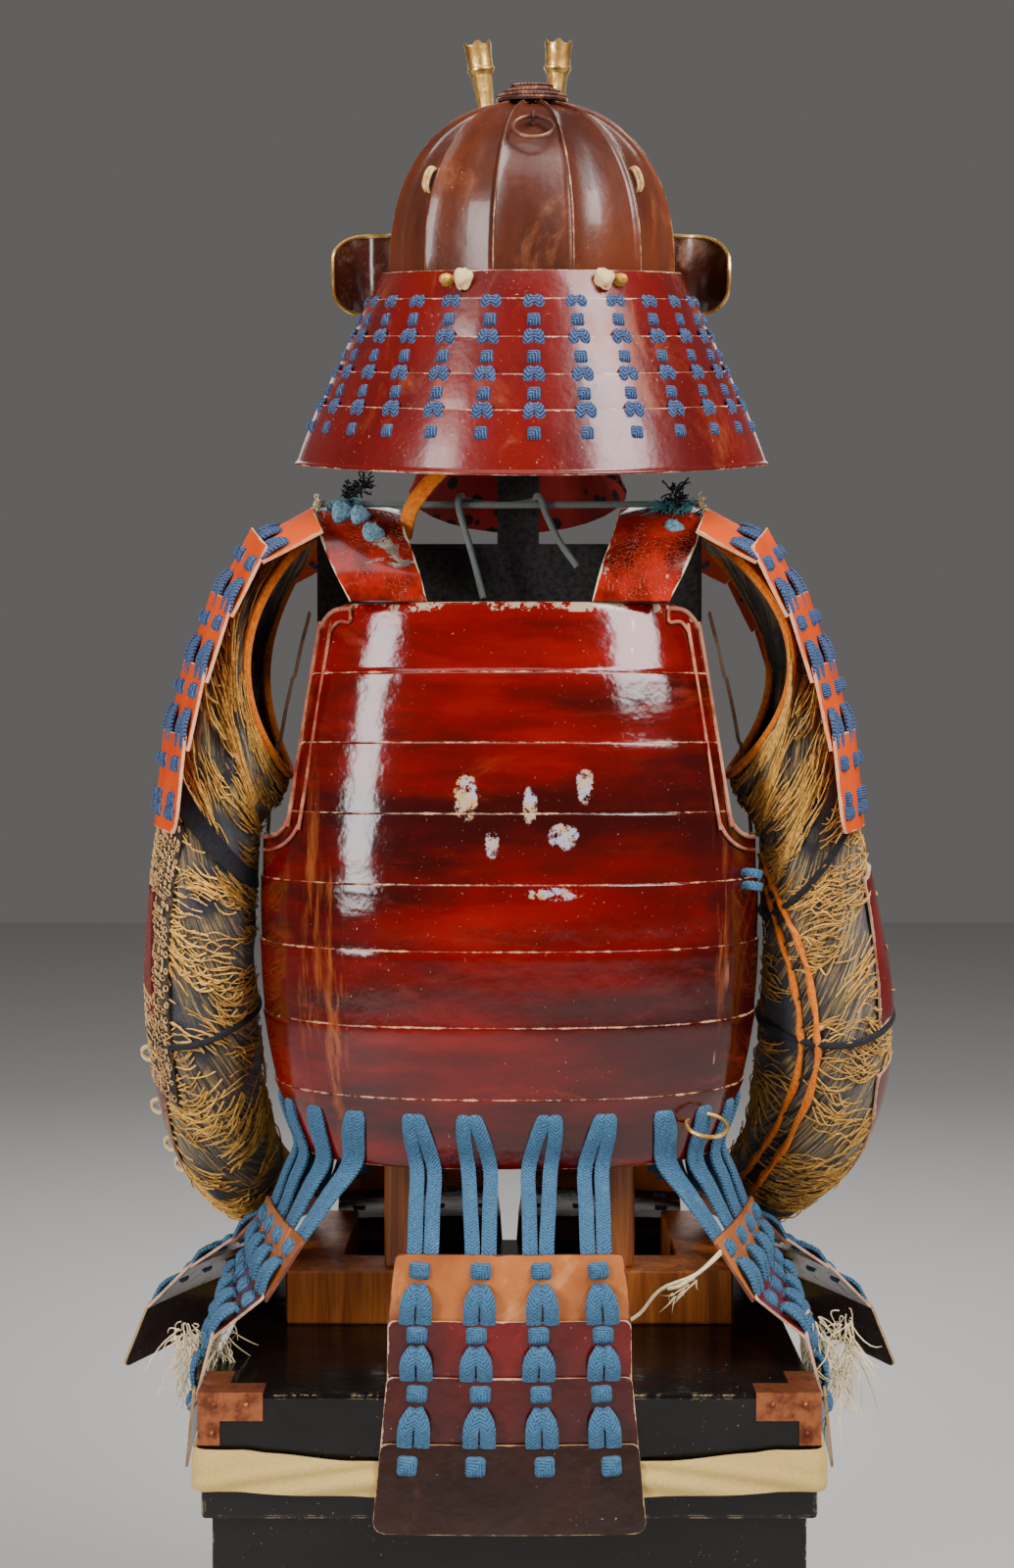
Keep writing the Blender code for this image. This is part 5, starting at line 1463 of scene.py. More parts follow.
def build_tasset(name, edges, side, cords_from, cords_to):
    lacing = Shape()
    for lame in range(4):
        last = lame == 3
        reach = 1.0 if last else 1.10
        height = (tasset_point(side, edges[lame], 0) - tasset_point(side, edges[lame + 1], 0)).length

        def surface(across, share):
            near_top = max(0.0, 1 - share * height / UPPER_ROUNDING)
            near_foot = max(0.0, 1 - (1 - share) * height / LOWER_ROUNDING) if last else 0.0
            cut = UPPER_ROUNDING * (1 - sqrt(max(0, 1 - near_top**2)))
            cut += LOWER_ROUNDING * (1 - sqrt(max(0, 1 - near_foot**2)))
            inward = 0.0 if last else (TASSET_LAP + 0.0005) * share
            return tasset_frame(edges, side, lame, share, across * (1 - cut / edges[lame][4]), inward)[0]

        down = [stop * reach for stop in LAME_STOPS]
        inside = tasset_point(side, edges[2], 0, 0.4)
        shape = shell(surface, spread(-1, 1, 24), down, 0.0020, inside)
        node = f"tasset_{name}"
        replaced = (node,) if lame == 0 else ()
        finish, slot = LAME_FINISHES[lame]
        shape.add(f"{node}_lame_{lame + 1}", finish, ARMOUR_FRAME, replaced, slot, 50)
        for k, place in enumerate(KNOT_PLACES):
            wander = 0.02 * sin(5.1 * k + 2.3 * lame + len(name))
            centre, out, up, sideways = tasset_frame(edges, side, lame, 0.24, place + wander)
            knot(lacing, centre, out, up, *(TASSET_LAST_KNOT if last else TASSET_KNOT))
            if not last:
                start = tasset_frame(edges, side, lame, 0.47, place + wander)[0]
                end = tasset_frame(edges, side, lame, 1.03, place + wander)[0]
                cord_pair(lacing, start, end, out, sideways, *TASSET_PAIR, 0.0012)

    for pair in range(CORD_PAIRS):
        t = pair / (CORD_PAIRS - 1)
        hang_cords(lacing, edges, side, mix(cords_from, cords_to, t), (2 * t - 1) * KNOT_PLACES[-1])
    lacing.add(f"tasset_{name}_lacing", "pale_braid")


HEM_RADIUS = 0.17  # of the cuirass at its hem, by which a distance along it becomes degrees
MOST_DRIFT = 12.0  # degrees that a cord may lean between its hole and the hem
HUNG_WIDTH, HUNG_THICKNESS, HUNG_STEPS = 0.0106, 0.0040, 24
# How far each of a pair's cords is from their middle, at the cuirass and on the lame
APART_ABOVE, APART_BELOW = 0.0052, 0.0056


def hang_cords(shape, edges, side, angle, place):
    """A pair of flat cords from their holes above the hem to behind the first lame."""
    hem = CUIRASS_ROWS[-1][0]
    behind = TASSET_WALL + 0.0036

    def at_hem(turned, z, out):
        point = cuirass_point(turned, z, out)
        point.x *= side
        return point

    for s in (-1, 1):
        turn = degrees(APART_ABOVE * s / HEM_RADIUS)
        apart = APART_BELOW * s / edges[0][4]
        lower = tasset_point(side, edges[0], place + apart, behind) + Vector((0, 0, 0.003))
        top = at_hem(angle + turn * 0.55, CORD_START_Z + 0.001, -0.0006)
        lean = (lower - top).x * side / max(0.02, top.z - lower.z)
        drift = degrees(lean * (CORD_START_Z - hem) / HEM_RADIUS)
        drift = max(-MOST_DRIFT, min(MOST_DRIFT, drift))

        def over(z, share, out):
            return at_hem(angle + turn * share + drift * (CORD_START_Z - z) / (CORD_START_Z - hem), z, out)

        line = [
            top,
            over(CORD_START_Z - 0.003, 0.62, 0.0018),
            over(CORD_START_Z - 0.016, 0.9, 0.0028),
            over(hem, 1.0, 0.0032),
        ]
        line += [line[-1].lerp(lower, 0.5), lower]
        line.append(lower + (tasset_point(side, edges[1], place + apart, behind) - lower) * 0.40)
        round_hem = (at_hem(angle + 1, hem, 0) - at_hem(angle - 1, hem, 0)).normalized()
        right, left = (tasset_point(side, edges[0], place + d) for d in (0.1, -0.1))
        sideways = (right - left).normalized()
        path = smooth_line(line, HUNG_STEPS)
        outs = []
        for k in range(len(path)):
            ahead = (path[min(k + 1, HUNG_STEPS)] - path[max(k - 1, 0)]).normalized()
            along = round_hem.lerp(sideways, min(1, max(0, k / HUNG_STEPS * 1.6 - 0.5)))
            outs.append(along.cross(ahead).normalized() * (1 if side > 0 else -1))
        widths = [HUNG_WIDTH * min(1.0, 0.55 + 0.45 * k / 4) for k in range(len(path))]
        strip(shape, path, outs, widths, HUNG_THICKNESS, 10, 0.75)


# Sleeves

# How far the back and front of each sleeve's mouth are cut away, over this many rings
MOUTH_CUT = {-1: 0.034, 1: 0.048}
MOUTH_RINGS = 2.6

# The orange edges down the back of the right sleeve: rings down, and degrees round to each of them
# Columns: ring, outer_edge, inner_edge
SEAM_ROWS = (
    (3.9, 8, -2),
    (4.6, 18, 6),
    (5.2, 28, 14),
    (6.0, 46, 30),
    (7.0, 62, 46),
    (8.0, 71, 56),
    (8.8, 73, 58),
    (10.0, 58, 43),
    (11.0, 46, 30),
    (12.0, 40, 22),
)


def sleeve_surface(sign, t, angle, out=0.0):
    """A point on the sleeve's cloth: the part's own form, with its mouth cut away at the back and front."""
    point = sleeve_point(sign, t, angle, out)
    near_mouth = max(0.0, 1 - t / MOUTH_RINGS) ** 1.3
    point.x += sign * MOUTH_CUT[sign] * near_mouth * sin(radians(angle)) ** 2
    return point


def build_sleeves():
    last = len(SLEEVE_ROWS) - 1
    for side, sign in SIDES:

        def surface(angle, t):
            crease = 0.0016 * sin(7 * radians(angle) + 2.9 * t) * sin(1.9 * t + sign)
            return sleeve_surface(sign, t, angle, crease)

        across = round_turn(96)
        down = spread(0, last, 110)
        shape = shell(surface, across, down, 0.0020, (sign * 0.225, 0.03, 0.78), wrap=True)
        name = f"sleeve_{side}"
        sleeve = shape.dress(name, "_cloth", "brocade", "brocade")
        width, length, area = tube_cut(surface, across, down)
        binding = Shape()
        mouth = [sleeve_surface(sign, 0.02, a, 0.0004) for a in round_turn(72)]
        wrist = [sleeve_point(sign, last - 0.02, a) for a in round_turn(60)]
        rope(binding, mouth, 0.0034, 8, closed=True)
        rope(binding, wrist, 0.0020, 8, closed=True)
        bound = binding.add(name + "_binding", "binding")
        build_threads(side, sign)
        build_sleeve_ties(side, sign)
        build_sleeve_plates(side, sign)
    build_seam()
    build_left_sleeve_patches()


def thread_field(sign, t, angle):
    """How thick the loose gold threads are at a place on a sleeve, from 0 to 1."""
    a = radians(angle)
    field = 0.52 + 0.30 * sin(2.6 * t + 1.9 * a + sign) + 0.26 * sin(5.3 * t - 3.1 * a)
    if t < 4.2:
        field += 0.10 * sign - 0.18 + 0.20 * sin(a)
    if sign < 0 and angle > 150 and 5 < t < 9:
        field = 0.1
    if sign > 0:
        seam = between(SEAM_ROWS, (min(max(t, 3.9), 12.0) - 3.9) / 8.1 * (len(SEAM_ROWS) - 1))
        if t > 4 and seam[2] - 14 < angle < seam[1] + 3:
            field = -1
    if abs(t - 4.8) < 0.35 and sign < 0:
        field = -1
    return field


THREAD_ROWS, THREAD_POINTS = 430, 6
THREAD_DEGREES = (12, 44)  # how far round the sleeve a thread may lie
THREAD_LIFT, THREAD_RADIUS = (0.0006, 0.0026), (0.00050, 0.00085)


def build_threads(side, sign):
    """Loose gold threads that lie round the sleeve, where the brocade has frayed and left them."""
    rng = random.Random(20 + sign)
    last = len(SLEEVE_ROWS) - 1
    shape = Shape()
    for row in range(THREAD_ROWS):
        t = mix(0.4, last - 0.15, (row + rng.uniform(-0.6, 0.6)) / THREAD_ROWS)
        angle = rng.uniform(-60, 0)
        while angle < 330:
            length = rng.uniform(*THREAD_DEGREES)
            middle = (angle + length / 2) % 360
            patch = 0.5 + 0.30 * sin(t * 5.1 + middle * 0.045 + sign)
            patch += 0.24 * sin(t * 2.3 - middle * 0.081)
            if thread_field(sign, t, middle) * (0.35 + patch) > rng.uniform(0.12, 0.62):
                slope = 0.22 * sin(t * 1.9 + middle * 0.03) + rng.uniform(-0.05, 0.05)
                sag = 0.12 * sin(t * 3.1 + middle * 0.05) + rng.uniform(-0.04, 0.06)
                lift = rng.uniform(*THREAD_LIFT) * (2.2 if rng.random() < 0.12 else 1)
                phase = rng.uniform(0, 6.28)
                line = []
                for k in range(THREAD_POINTS):
                    s = k / (THREAD_POINTS - 1)
                    bow = sin(pi * s)
                    ring = t + slope * (s - 0.5) + sag * bow + 0.02 * sin(phase + 7 * s)
                    out = 0.0005 + lift * (0.35 + 0.65 * sin(pi * s + 0.3 * phase) ** 2)
                    line.append(sleeve_surface(sign, min(max(ring, 0.1), last), angle + length * s, out))
                radius = rng.uniform(*THREAD_RADIUS)
                rope(shape, line, [radius] * (THREAD_POINTS - 2) + [radius * 0.8, radius * 0.4], 3)
            angle += length + rng.uniform(-6, 12)
    shape.add(f"sleeve_{side}_gold_threads", "gold_thread", slot="brocade")


# Cords tied round each sleeve: rings down at the inner and outer side, and radius
SLEEVE_TIES = {-1: ((8.1, 8.7, 0.0026),), 1: ((5.9, 5.3, 0.0026), (8.3, 8.5, 0.0028))}


def build_sleeve_ties(side, sign):
    shape = Shape()
    for inner, outer, radius in SLEEVE_TIES[sign]:
        line = []
        for angle in round_turn(60):
            t = mix(inner, outer, 0.5 - 0.5 * cos(radians(angle)))
            line.append(sleeve_surface(sign, t, angle, radius * 0.9))
        rope(shape, line, radius, 8, closed=True)
    if sign < 0:
        stops = spread(4.45, 5.05, 6)
        shell(
            lambda angle, t: sleeve_surface(sign, t, angle, 0.0026 + 0.0006 * sin(9 * t)),
            round_turn(60),
            stops,
            0.0012,
            (sign * 0.225, 0.0, 0.85),
            wrap=True,
            shape=shape,
        )
    shape.add(f"sleeve_{side}_ties", "black_thread")


def build_seam():
    """The laced opening down the back of the right sleeve: two orange edges and the black cord between."""
    edges, lacing = Shape(), Shape()
    count = 90
    lines = []
    for column in (1, 2):
        line = []
        for k in range(count + 1):
            row = between(SEAM_ROWS, k / count * (len(SEAM_ROWS) - 1))
            ripple = 0.5 * sin(k * 0.9 + column)
            line.append(sleeve_surface(1, row[0], row[column] + ripple, 0.0022))
        lines.append(line)
        rope(edges, line, [0.0026 + 0.0006 * sin(k * 0.7 + column) for k in range(count + 1)], 8)
    for k in range(4, count - 4, 5):
        start, end = lines[0][k], lines[1][k + 3]
        middle = (start + end) / 2 + Vector((0, -0.003, 0))
        rope(lacing, smooth_line((start, middle, end), 8), 0.0010, 6)
    edges.add("sleeve_right_seam_edges", "binding")
    lacing.add("sleeve_right_seam_lacing", "black_thread")


# The curls of cream cord on the left sleeve: rings down it and degrees round it
CURLS = ((9.1, 170), (10.0, 168), (10.9, 166), (11.6, 166), (9.5, 196), (10.6, 196))
# What is sewn on its outer side: degrees round it, rings down it, steps each way, lift and thickness
SEWN_MAIL = (114, 232, 5.15, 9.4, 40, 0.0036, 0.0014)
SEWN_PATCH = (139, 166, 6.6, 7.95, 14, 0.0062, 0.0024)


def sewn_on(left, right, top, bottom, steps, lift, thickness):
    """A piece of cloth that follows the left sleeve."""
    across, down = spread(left, right, steps), spread(top, bottom, steps)
    return shell(
        lambda angle, t: sleeve_surface(-1, t, angle, lift), across, down, thickness, (-0.225, 0.0, 0.78)
    )


def build_left_sleeve_patches():
    sewn_on(*SEWN_MAIL).add("sleeve_left_mail", "mail_cloth", slot="mail_cloth")
    build_mail_loops()
    sewn_on(*SEWN_PATCH).add("sleeve_left_patch", "red_cloth", slot="red_lacquer")
    knots = Shape()
    for ring, angle in CURLS:
        centre = sleeve_surface(-1, ring, angle, 0.0075)
        curl = []
        for a in spread(0, 7.5, 16):
            drop = 0.0044 * sin(a) - 0.0006 * a
            curl.append(centre + Vector((0.0048 * cos(a), -0.0035 * sin(a * 1.3), drop)))
        rope(knots, curl, 0.0018, 6)
    knots.add("sleeve_plate_knots", "cream_cord")


# The patch of cream loops on the left sleeve: turns round it, rings down it, and how far apart they are
LOOP_TURNS, LOOP_RINGS, LOOP_STEP, LOOP_DROP = (115, 196), (5.25, 9.3), 5.4, 0.112


def build_mail_loops():
    """Small loops of cream thread worked all over the mail."""
    rng = random.Random(5)
    shape = Shape()
    ring = LOOP_RINGS[0]
    while ring < LOOP_RINGS[1]:
        angle = LOOP_TURNS[0] + rng.uniform(0, LOOP_STEP)
        while angle < LOOP_TURNS[1]:
            on_patch = 137 < angle < 168 and 6.5 < ring < 8.05
            if not on_patch and rng.random() < 0.9:
                wide, tall, lean = rng.uniform(1.4, 2.3), rng.uniform(0.030, 0.048), rng.uniform(0, 6.28)
                line = [
                    sleeve_surface(
                        -1, ring + tall * sin(a), angle + wide * cos(a),
                        0.0046 + 0.0011 * sin(a + lean),
                    )
                    for a in round_turn(7, 2 * pi)
                ]
                rope(shape, line, 0.00062, 3, closed=True)
            angle += LOOP_STEP * rng.uniform(0.8, 1.2)
        ring += LOOP_DROP
    shape.add("sleeve_left_mail_loops", "leather")


def tube_cut(surface, across, down):
    """The flat width, length and area of a tube of cloth."""
    points = np.array([[tuple(surface(a, t)) for a in across] for t in down])
    round_it = np.linalg.norm(np.roll(points, -1, axis=1) - points, axis=2)
    along = np.linalg.norm(np.diff(points, axis=0), axis=2)
    width, length = float(round_it.sum(axis=1).max()), float(along.sum(axis=0).max())
    over = np.roll(points, -1, axis=1)[:-1] - points[:-1]
    area = float(np.linalg.norm(np.cross(over, np.diff(points, axis=0)), axis=2).sum())
    return width, length, min(area, width * length)


# Plates on a sleeve: first and last row, first and last column, counted on the part's own sleeve
SLEEVE_PLATES = (("elbow_plate", 9, 12, 6, 9), ("forearm_plate", 13, 18, 6, 10))
HAND_ANGLE = 213.75  # degrees round the sleeve of the hand guard's middle


def build_sleeve_plates(side, sign):
    seat = 0.0030
    last = len(SLEEVE_ROWS) - 1

    def plate(name, first_row, last_row, first_column, last_column):
        def surface(column, row):
            return sleeve_point(sign, row / SLEEVE_RINGS * last, 360 * column / SLEEVE_SIDES, seat + 0.0010)

        middle = sleeve_point(
            sign,
            (first_row + last_row) / 2 / SLEEVE_RINGS * last,
            180 * (first_column + last_column) / SLEEVE_SIDES,
            -0.05,
        )
        across = spread(first_column, last_column, 24)
        down = spread(first_row, last_row, 24)
        shell(surface, across, down, 0.0018, middle).dress(name, "_fine", "red_lacquer", "red_lacquer")

    for name, *edges in SLEEVE_PLATES:
        plate(f"{name}_{side}", *edges)

    def hand(column, row):
        down = row / 5
        across = column / 2.5 - 1
        angle = 360 * (7 + column) / SLEEVE_SIDES
        start = sleeve_point(sign, last, mix(angle, HAND_ANGLE, 0.35 * down**3), seat)
        drop = -0.016 * down - 0.004 * down * across**2
        return start + Vector((-sign * 0.012 * down, 0.080 * down, drop))

    middle = sleeve_point(sign, last, HAND_ANGLE, -0.06) + Vector((0, 0.04, 0))
    shape = shell(hand, spread(0, 5, 24), spread(0, 5, 24), 0.0018, middle)
    shape.dress(f"hand_guard_{side}", "_fine", "red_lacquer", "red_lacquer")


# Thigh guards, belt and cords


# How far round the lid, from the middle of its front, a thigh guard starts and ends
THIGH_GUARD_RUN, THIGH_GUARD_INSET = (0.01, 0.45), 0.002


def build_thigh_guards():
    for side, sign in SIDES:

        def surface(length, down):
            along = (length - THIGH_GUARD_RUN[0]) / (THIGH_GUARD_RUN[1] - THIGH_GUARD_RUN[0])
            wave = 0.004 * down * sin(5.2 * pi * along)
            crease = 0.0012 * down * sin(21 * along + 5 * down)
            flare = 0.030 * down**1.2 * along**1.5
            point = chest_line(length, 0.0039 + flare + wave + crease + 0.006 * down)
            z = mix(THIGH_GUARD_TOP, THIGH_GUARD_BOTTOM, down)
            point.z = z + 0.010 * down * cos(pi * along)
            point.x *= sign
            return point

        first, last = THIGH_GUARD_RUN[0] + THIGH_GUARD_INSET, THIGH_GUARD_RUN[1] - THIGH_GUARD_INSET
        stops = [x for x in chest_stations((40, 6, 70, 1, 1)) if first < x < last]
        shape = shell(surface, stops, spread(0, 1, 40), 0.0022, (sign * 0.15, 0.035, 0.25))
        piece = shape.dress(f"thigh_guard_{side}", "_mail", "mail_cloth", "mail_cloth")


# The belt's middle height, and how much it sinks and narrows over the last part of its way to the back
BELT_Z, BELT_SINKS, BELT_NARROWS, BELT_FROM = 0.430, 0.0105, 0.36, 0.78


def build_belt():
    half = chest_stations((60, 6, 90, 6, 60))
    whole = half[-1]
    stations = half + [2 * whole - x for x in reversed(half[1:-1])]

    def surface(length, place):
        sign = 1 if length <= whole else -1
        short = min(length, 2 * whole - length)
        at_back = max(0.0, (short / whole - BELT_FROM) / 0.22)
        roll = 0.0013 * abs(sin(short * 34 + place * 4.2)) + 0.0006 * sin(short * 90 + place * 11)
        point = chest_line(short, BELT_THICKNESS + 0.0012 + roll + 0.0012 * sin(pi * place))
        height = BELT_HEIGHT * (1 - BELT_NARROWS * at_back)
        point.z = BELT_Z - BELT_SINKS * at_back**0.8 + height * (0.5 - place)
        point.x *= sign
        return point

    shape = shell(surface, stations, spread(0, 1, 14), 0.0026, (0, 0.035, 0.43), wrap=True)
    belt = shape.dress("thigh_guard_belt", "_twisted", "belt_cloth", "belt_cloth")


def free_cord(name, route, node):
    """A cord on the route of the part's solid."""
    line = [p + Vector((0, SLIDE_Y, 0)) for p in smooth_line(route, 90)]
    curve = bpy.data.curves.new(name, "CURVE")
    curve.dimensions = "3D"
    curve.bevel_depth = CORD_RADIUS
    curve.bevel_resolution = 3
    curve.use_fill_caps = True
    spline = curve.splines.new("POLY")
    spline.points.add(len(line) - 1)
    for point, place in zip(spline.points, line):
        point.co = (*place, 1)
    curve.materials.append(FINISHES["green_cord"])
    obj = bpy.data.objects.new(name, curve)
    link(obj)
    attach(obj, "armour")
    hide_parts(node)
    return obj


# The cord laid over the taut one: up in front of it, over and down behind it, and back again
FRONT_Y = CORD_Y - 0.0068
HANGING_ROUTE = (
    (-0.019, FRONT_Y - 0.003, 1.020),
    (-0.027, FRONT_Y - 0.001, 1.052),
    (-0.036, FRONT_Y, 1.082),
    (-0.037, FRONT_Y, 1.0912),
    (-0.035, CORD_Y, 1.0950),
    (-0.031, CORD_Y + 0.0062, 1.0920),
    (-0.006, CORD_Y + 0.0056, 1.0890),
    (0.016, CORD_Y + 0.0062, 1.0915),
    (0.020, CORD_Y, 1.0950),
    (0.023, FRONT_Y, 1.0912),
    (0.027, FRONT_Y, 1.080),
    (0.037, FRONT_Y - 0.001, 1.060),
    (0.049, FRONT_Y - 0.002, 1.043),
)
# The taut cord: half its length, its height at its ends and how far it sags
TAUT_REACH, TAUT_Z, TAUT_SAG, TAUT_STEPS = 0.142, 1.0895, 0.001, 12


def build_cords():
    main = []
    for k in range(TAUT_STEPS + 1):
        t = 2 * k / TAUT_STEPS - 1
        main.append((TAUT_REACH * t, CORD_Y, TAUT_Z - TAUT_SAG * (1 - t * t)))
    free_cord("shoulder_cord_green", main, "shoulder_cord")
    free_cord("hanging_cord_green", HANGING_ROUTE, "hanging_cord")


# Small things on the helmet, shoulders and cuirass


# On the first lame: where its gilt domes and cream knots are, and each dome's steps, as radius and lift
DOME_ACROSS, CREAM_KNOT_ACROSS, DOME_DOWN = 0.272, 0.214, 0.36
DOME_STEPS = ((0.0056, 0.0006), (0.0052, 0.0030), (0.0038, 0.0050), (0.0016, 0.0060))
# The leather loops on the bowl: degrees round from the back, then degrees up from the rim and how far out
LOOP_ANGLE = 49
LOOP_ROWS = ((24, -0.001), (25, 0.0020), (27, 0.0032), (30, 0.0032), (32, 0.0018), (33, -0.001))


def build_helmet_details():
    """Gilt domes and cream knots on the first lame, leather loops on the bowl, and the crest's cups."""
    domes, cords, loops = Shape(), Shape(), Shape()
    for sign in (-1, 1):
        centre, out = neck_place(0, sign * DOME_ACROSS, DOME_DOWN)[:2]
        for ring, lift in DOME_STEPS:
            ball(domes, centre + out * lift, ring, 0.8)
        centre, out, up, sideways = neck_place(0, sign * CREAM_KNOT_ACROSS, DOME_DOWN)
        lump(cords, centre + out * 0.0038, out, up, sideways, 0.0070)
        loop = [bowl_point(sign * LOOP_ANGLE, lift, out) for lift, out in LOOP_ROWS]
        beside = [point + Vector((sign * 0.0024, -0.0006, 0.001)) for point in loop]
        for line in (loop, beside):
            rope(loops, smooth_line(line, 24), 0.0013, 8)
    domes.add("neck_guard_domes", "dull_gold", HELMET_FRAME, slot="gilt")
    cords.add("neck_guard_cream_knots", "cream_cord", HELMET_FRAME)
    loops.add("helmet_loops", "leather", HELMET_FRAME)
    build_crest_cups()


# The crest's two cups: how many lobes each rim has, and rows of height and radius up the outside
CUP_LOBES = 5
CUP_ROWS = (
    (0.126, 0.0086), (0.1285, 0.0092), (0.1295, 0.0104), (0.1310, 0.0104),
    (0.1320, 0.0094), (0.139, 0.0094), (0.144, 0.0098), (0.149, 0.0104),
)


def build_crest_cups():
    """The notched rims of the crest's two cups."""
    rims = Shape()
    for sign in (-1, 1):
        foot = Vector((sign * 0.019 - 0.002, bowl_point(180, 0).y + 0.013, 0.030))
        turn = Matrix.Rotation(radians(sign * 5 - 3), 4, "Y")
        turn = turn @ Matrix.Rotation(radians(-2), 4, "X")

        def surface(angle, row):
            height, radius = row
            a = radians(angle)
            lobe = 0.0022 * cos(CUP_LOBES * a) * max(0.0, (height - 0.139) / 0.010)
            wide = radius + 0.0004
            return foot + turn @ Vector((wide * sin(a), -wide * cos(a), height + lobe))

        inside = foot + turn @ Vector((0, 0, 0.138))
        shell(surface, round_turn(60), CUP_ROWS, 0.0012, inside, True, shape=rims)
    rims.add("crest_cups", "gilt", HELMET_FRAME, slot="gilt")


def fray(shape, start, way, length, count, spread_by, radius, seed, droop=0.3):
    """A bunch of loose fibres that leave a line of places and droop."""
    rng = random.Random(seed)
    for _ in range(count):
        side = Vector((rng.uniform(-1, 1), rng.uniform(-1, 1), rng.uniform(-1, 1))) * spread_by
        root = start + way * (length * rng.uniform(0, 0.7)) + side * 0.4
        run = length * rng.uniform(0.15, 0.55)
        curl = Vector((rng.uniform(-1, 1), rng.uniform(-1, 1), rng.uniform(-1, 0.5))) * run * 0.8
        line = []
        for k in range(6):
            s = k / 5
            point = root + way * (run * 0.6 * s) + curl * s * s + side * (0.6 * sin(2.5 * s))
            line.append(point + Vector((0, 0, -droop * run * s * s)))
        rope(shape, line, [radius, radius, radius, radius * 0.9, radius * 0.7, radius * 0.3], 3)


# Loose ends: place, way they go, length, how many, spread and thickness of each bunch
BLACK_TUFTS = (
    ((-0.118, -0.036, 1.091), (0.25, -0.2, 1.0), 0.016, 60, 0.006, 0.0007),
    ((-0.108, -0.038, 1.098), (0.4, -0.1, 0.9), 0.014, 50, 0.006, 0.0007),
    ((0.118, -0.038, 1.088), (0.2, -0.3, 0.7), 0.016, 60, 0.010, 0.0007),
    ((0.130, -0.040, 1.078), (-0.2, -0.3, -0.7), 0.020, 60, 0.010, 0.0007),
)
TEAL_ENDS = (
    ((-0.132, -0.040, 1.0885), (1, -0.05, 0.05), 0.026, 70, 0.004, 0.0006),
    ((0.134, -0.040, 1.0880), (-1, -0.05, 0.02), 0.036, 90, 0.004, 0.0006),
    ((0.128, -0.042, 1.0840), (-0.8, -0.1, -0.2), 0.022, 50, 0.004, 0.0006),
)
THROAT_BAND = (
    (-0.076, -0.040, 1.066),
    (-0.070, -0.058, 1.084),
    (-0.054, -0.066, 1.104),
    (-0.036, -0.066, 1.121),
)
# Knotted toggles: place and radius
TOGGLES = (
    (-0.121, -0.052, 1.080, 0.0075),
    (-0.108, -0.054, 1.077, 0.0070),
    (-0.098, -0.066, 1.062, 0.0080),
    (0.117, -0.060, 1.066, 0.0072),
)


def build_shoulder_details():
    """The dark tufts, frayed teal ends and knotted toggles where the cords cross the shoulders."""
    black, teal, toggles = Shape(), Shape(), Shape()
    for shape, rows, seed in ((black, BLACK_TUFTS, 3), (teal, TEAL_ENDS, 40)):
        for k, (place, way, length, count, wide, radius) in enumerate(rows):
            fray(shape, Vector(place), Vector(way).normalized(), length, count, wide, radius, seed + k)
    for x, y, z, radius in TOGGLES:
        out, up, sideways = Vector((0, -1, 0)), Vector((0.2, 0, 1)), Vector((1, 0, -0.2))
        lump(toggles, Vector((x, y, z)), out, up, sideways, radius, 1.2)
    band = Shape()
    line = smooth_line([Vector(place) for place in THROAT_BAND], 24)
    strip(band, line, Vector((-0.2, -1, 0.25)), 0.0120, 0.0046, 12, 0.8)
    band.add("throat_band", "binding")
    black.add("shoulder_tufts", "black_thread")
    teal.add("cord_frayed_ends", "teal_thread", slot="green_cord")
    toggles.add("shoulder_toggles", "toggle")


# The gilt ring left on the cords: across, height and out, and the degrees that it leans
LOOSE_RING_AT, LOOSE_RING_LEAN, LOOSE_RING_RADIUS = (0.130, 0.645, 0.0125), 24, 0.0146


def build_cuirass_details():
    """The cord loops at the right seam, the gilt ring left on the cords, and the frayed strands."""
    loops, ring, strands = Shape(), Shape(), Shape()
    for z in LOOP_HEIGHTS:
        start = on_cuirass(LOOP_X, z, 0.0010)
        line = [start + Vector((d, -out, drop)) for d, out, drop in LOOP_STEPS]
        strip(loops, smooth_line(line, 16), Vector((0.5, -0.8, 0)), 0.0064, 0.0036, 8)
    loops.add("side_cord_loops", "pale_braid")

    centre = on_cuirass(*LOOSE_RING_AT)
    lean = radians(LOOSE_RING_LEAN)
    line = []
    for a in round_turn(40, 2 * pi):
        depth, rise = sin(a) * cos(lean) * 0.9, sin(a) * sin(lean)
        line.append(centre + Vector((cos(a), depth, rise - 0.06 * cos(a))) * LOOSE_RING_RADIUS)
    rope(ring, line, 0.0016, 8, closed=True)
    ring.add("loose_gilt_ring", "gilt", slot="gilt")

    for k, (place, way, length, count, wide, radius) in enumerate(CREAM_STRANDS):
        fray(strands, Vector(place), Vector(way).normalized(), length, count, wide, radius, 70 + k, 0.15)
    for places in LOOSE_CREAM_CORDS:
        rope(strands, smooth_line([Vector(place) for place in places], 20), 0.0013, 6)
    strands.add("frayed_cream_strands", "cream_fibre")


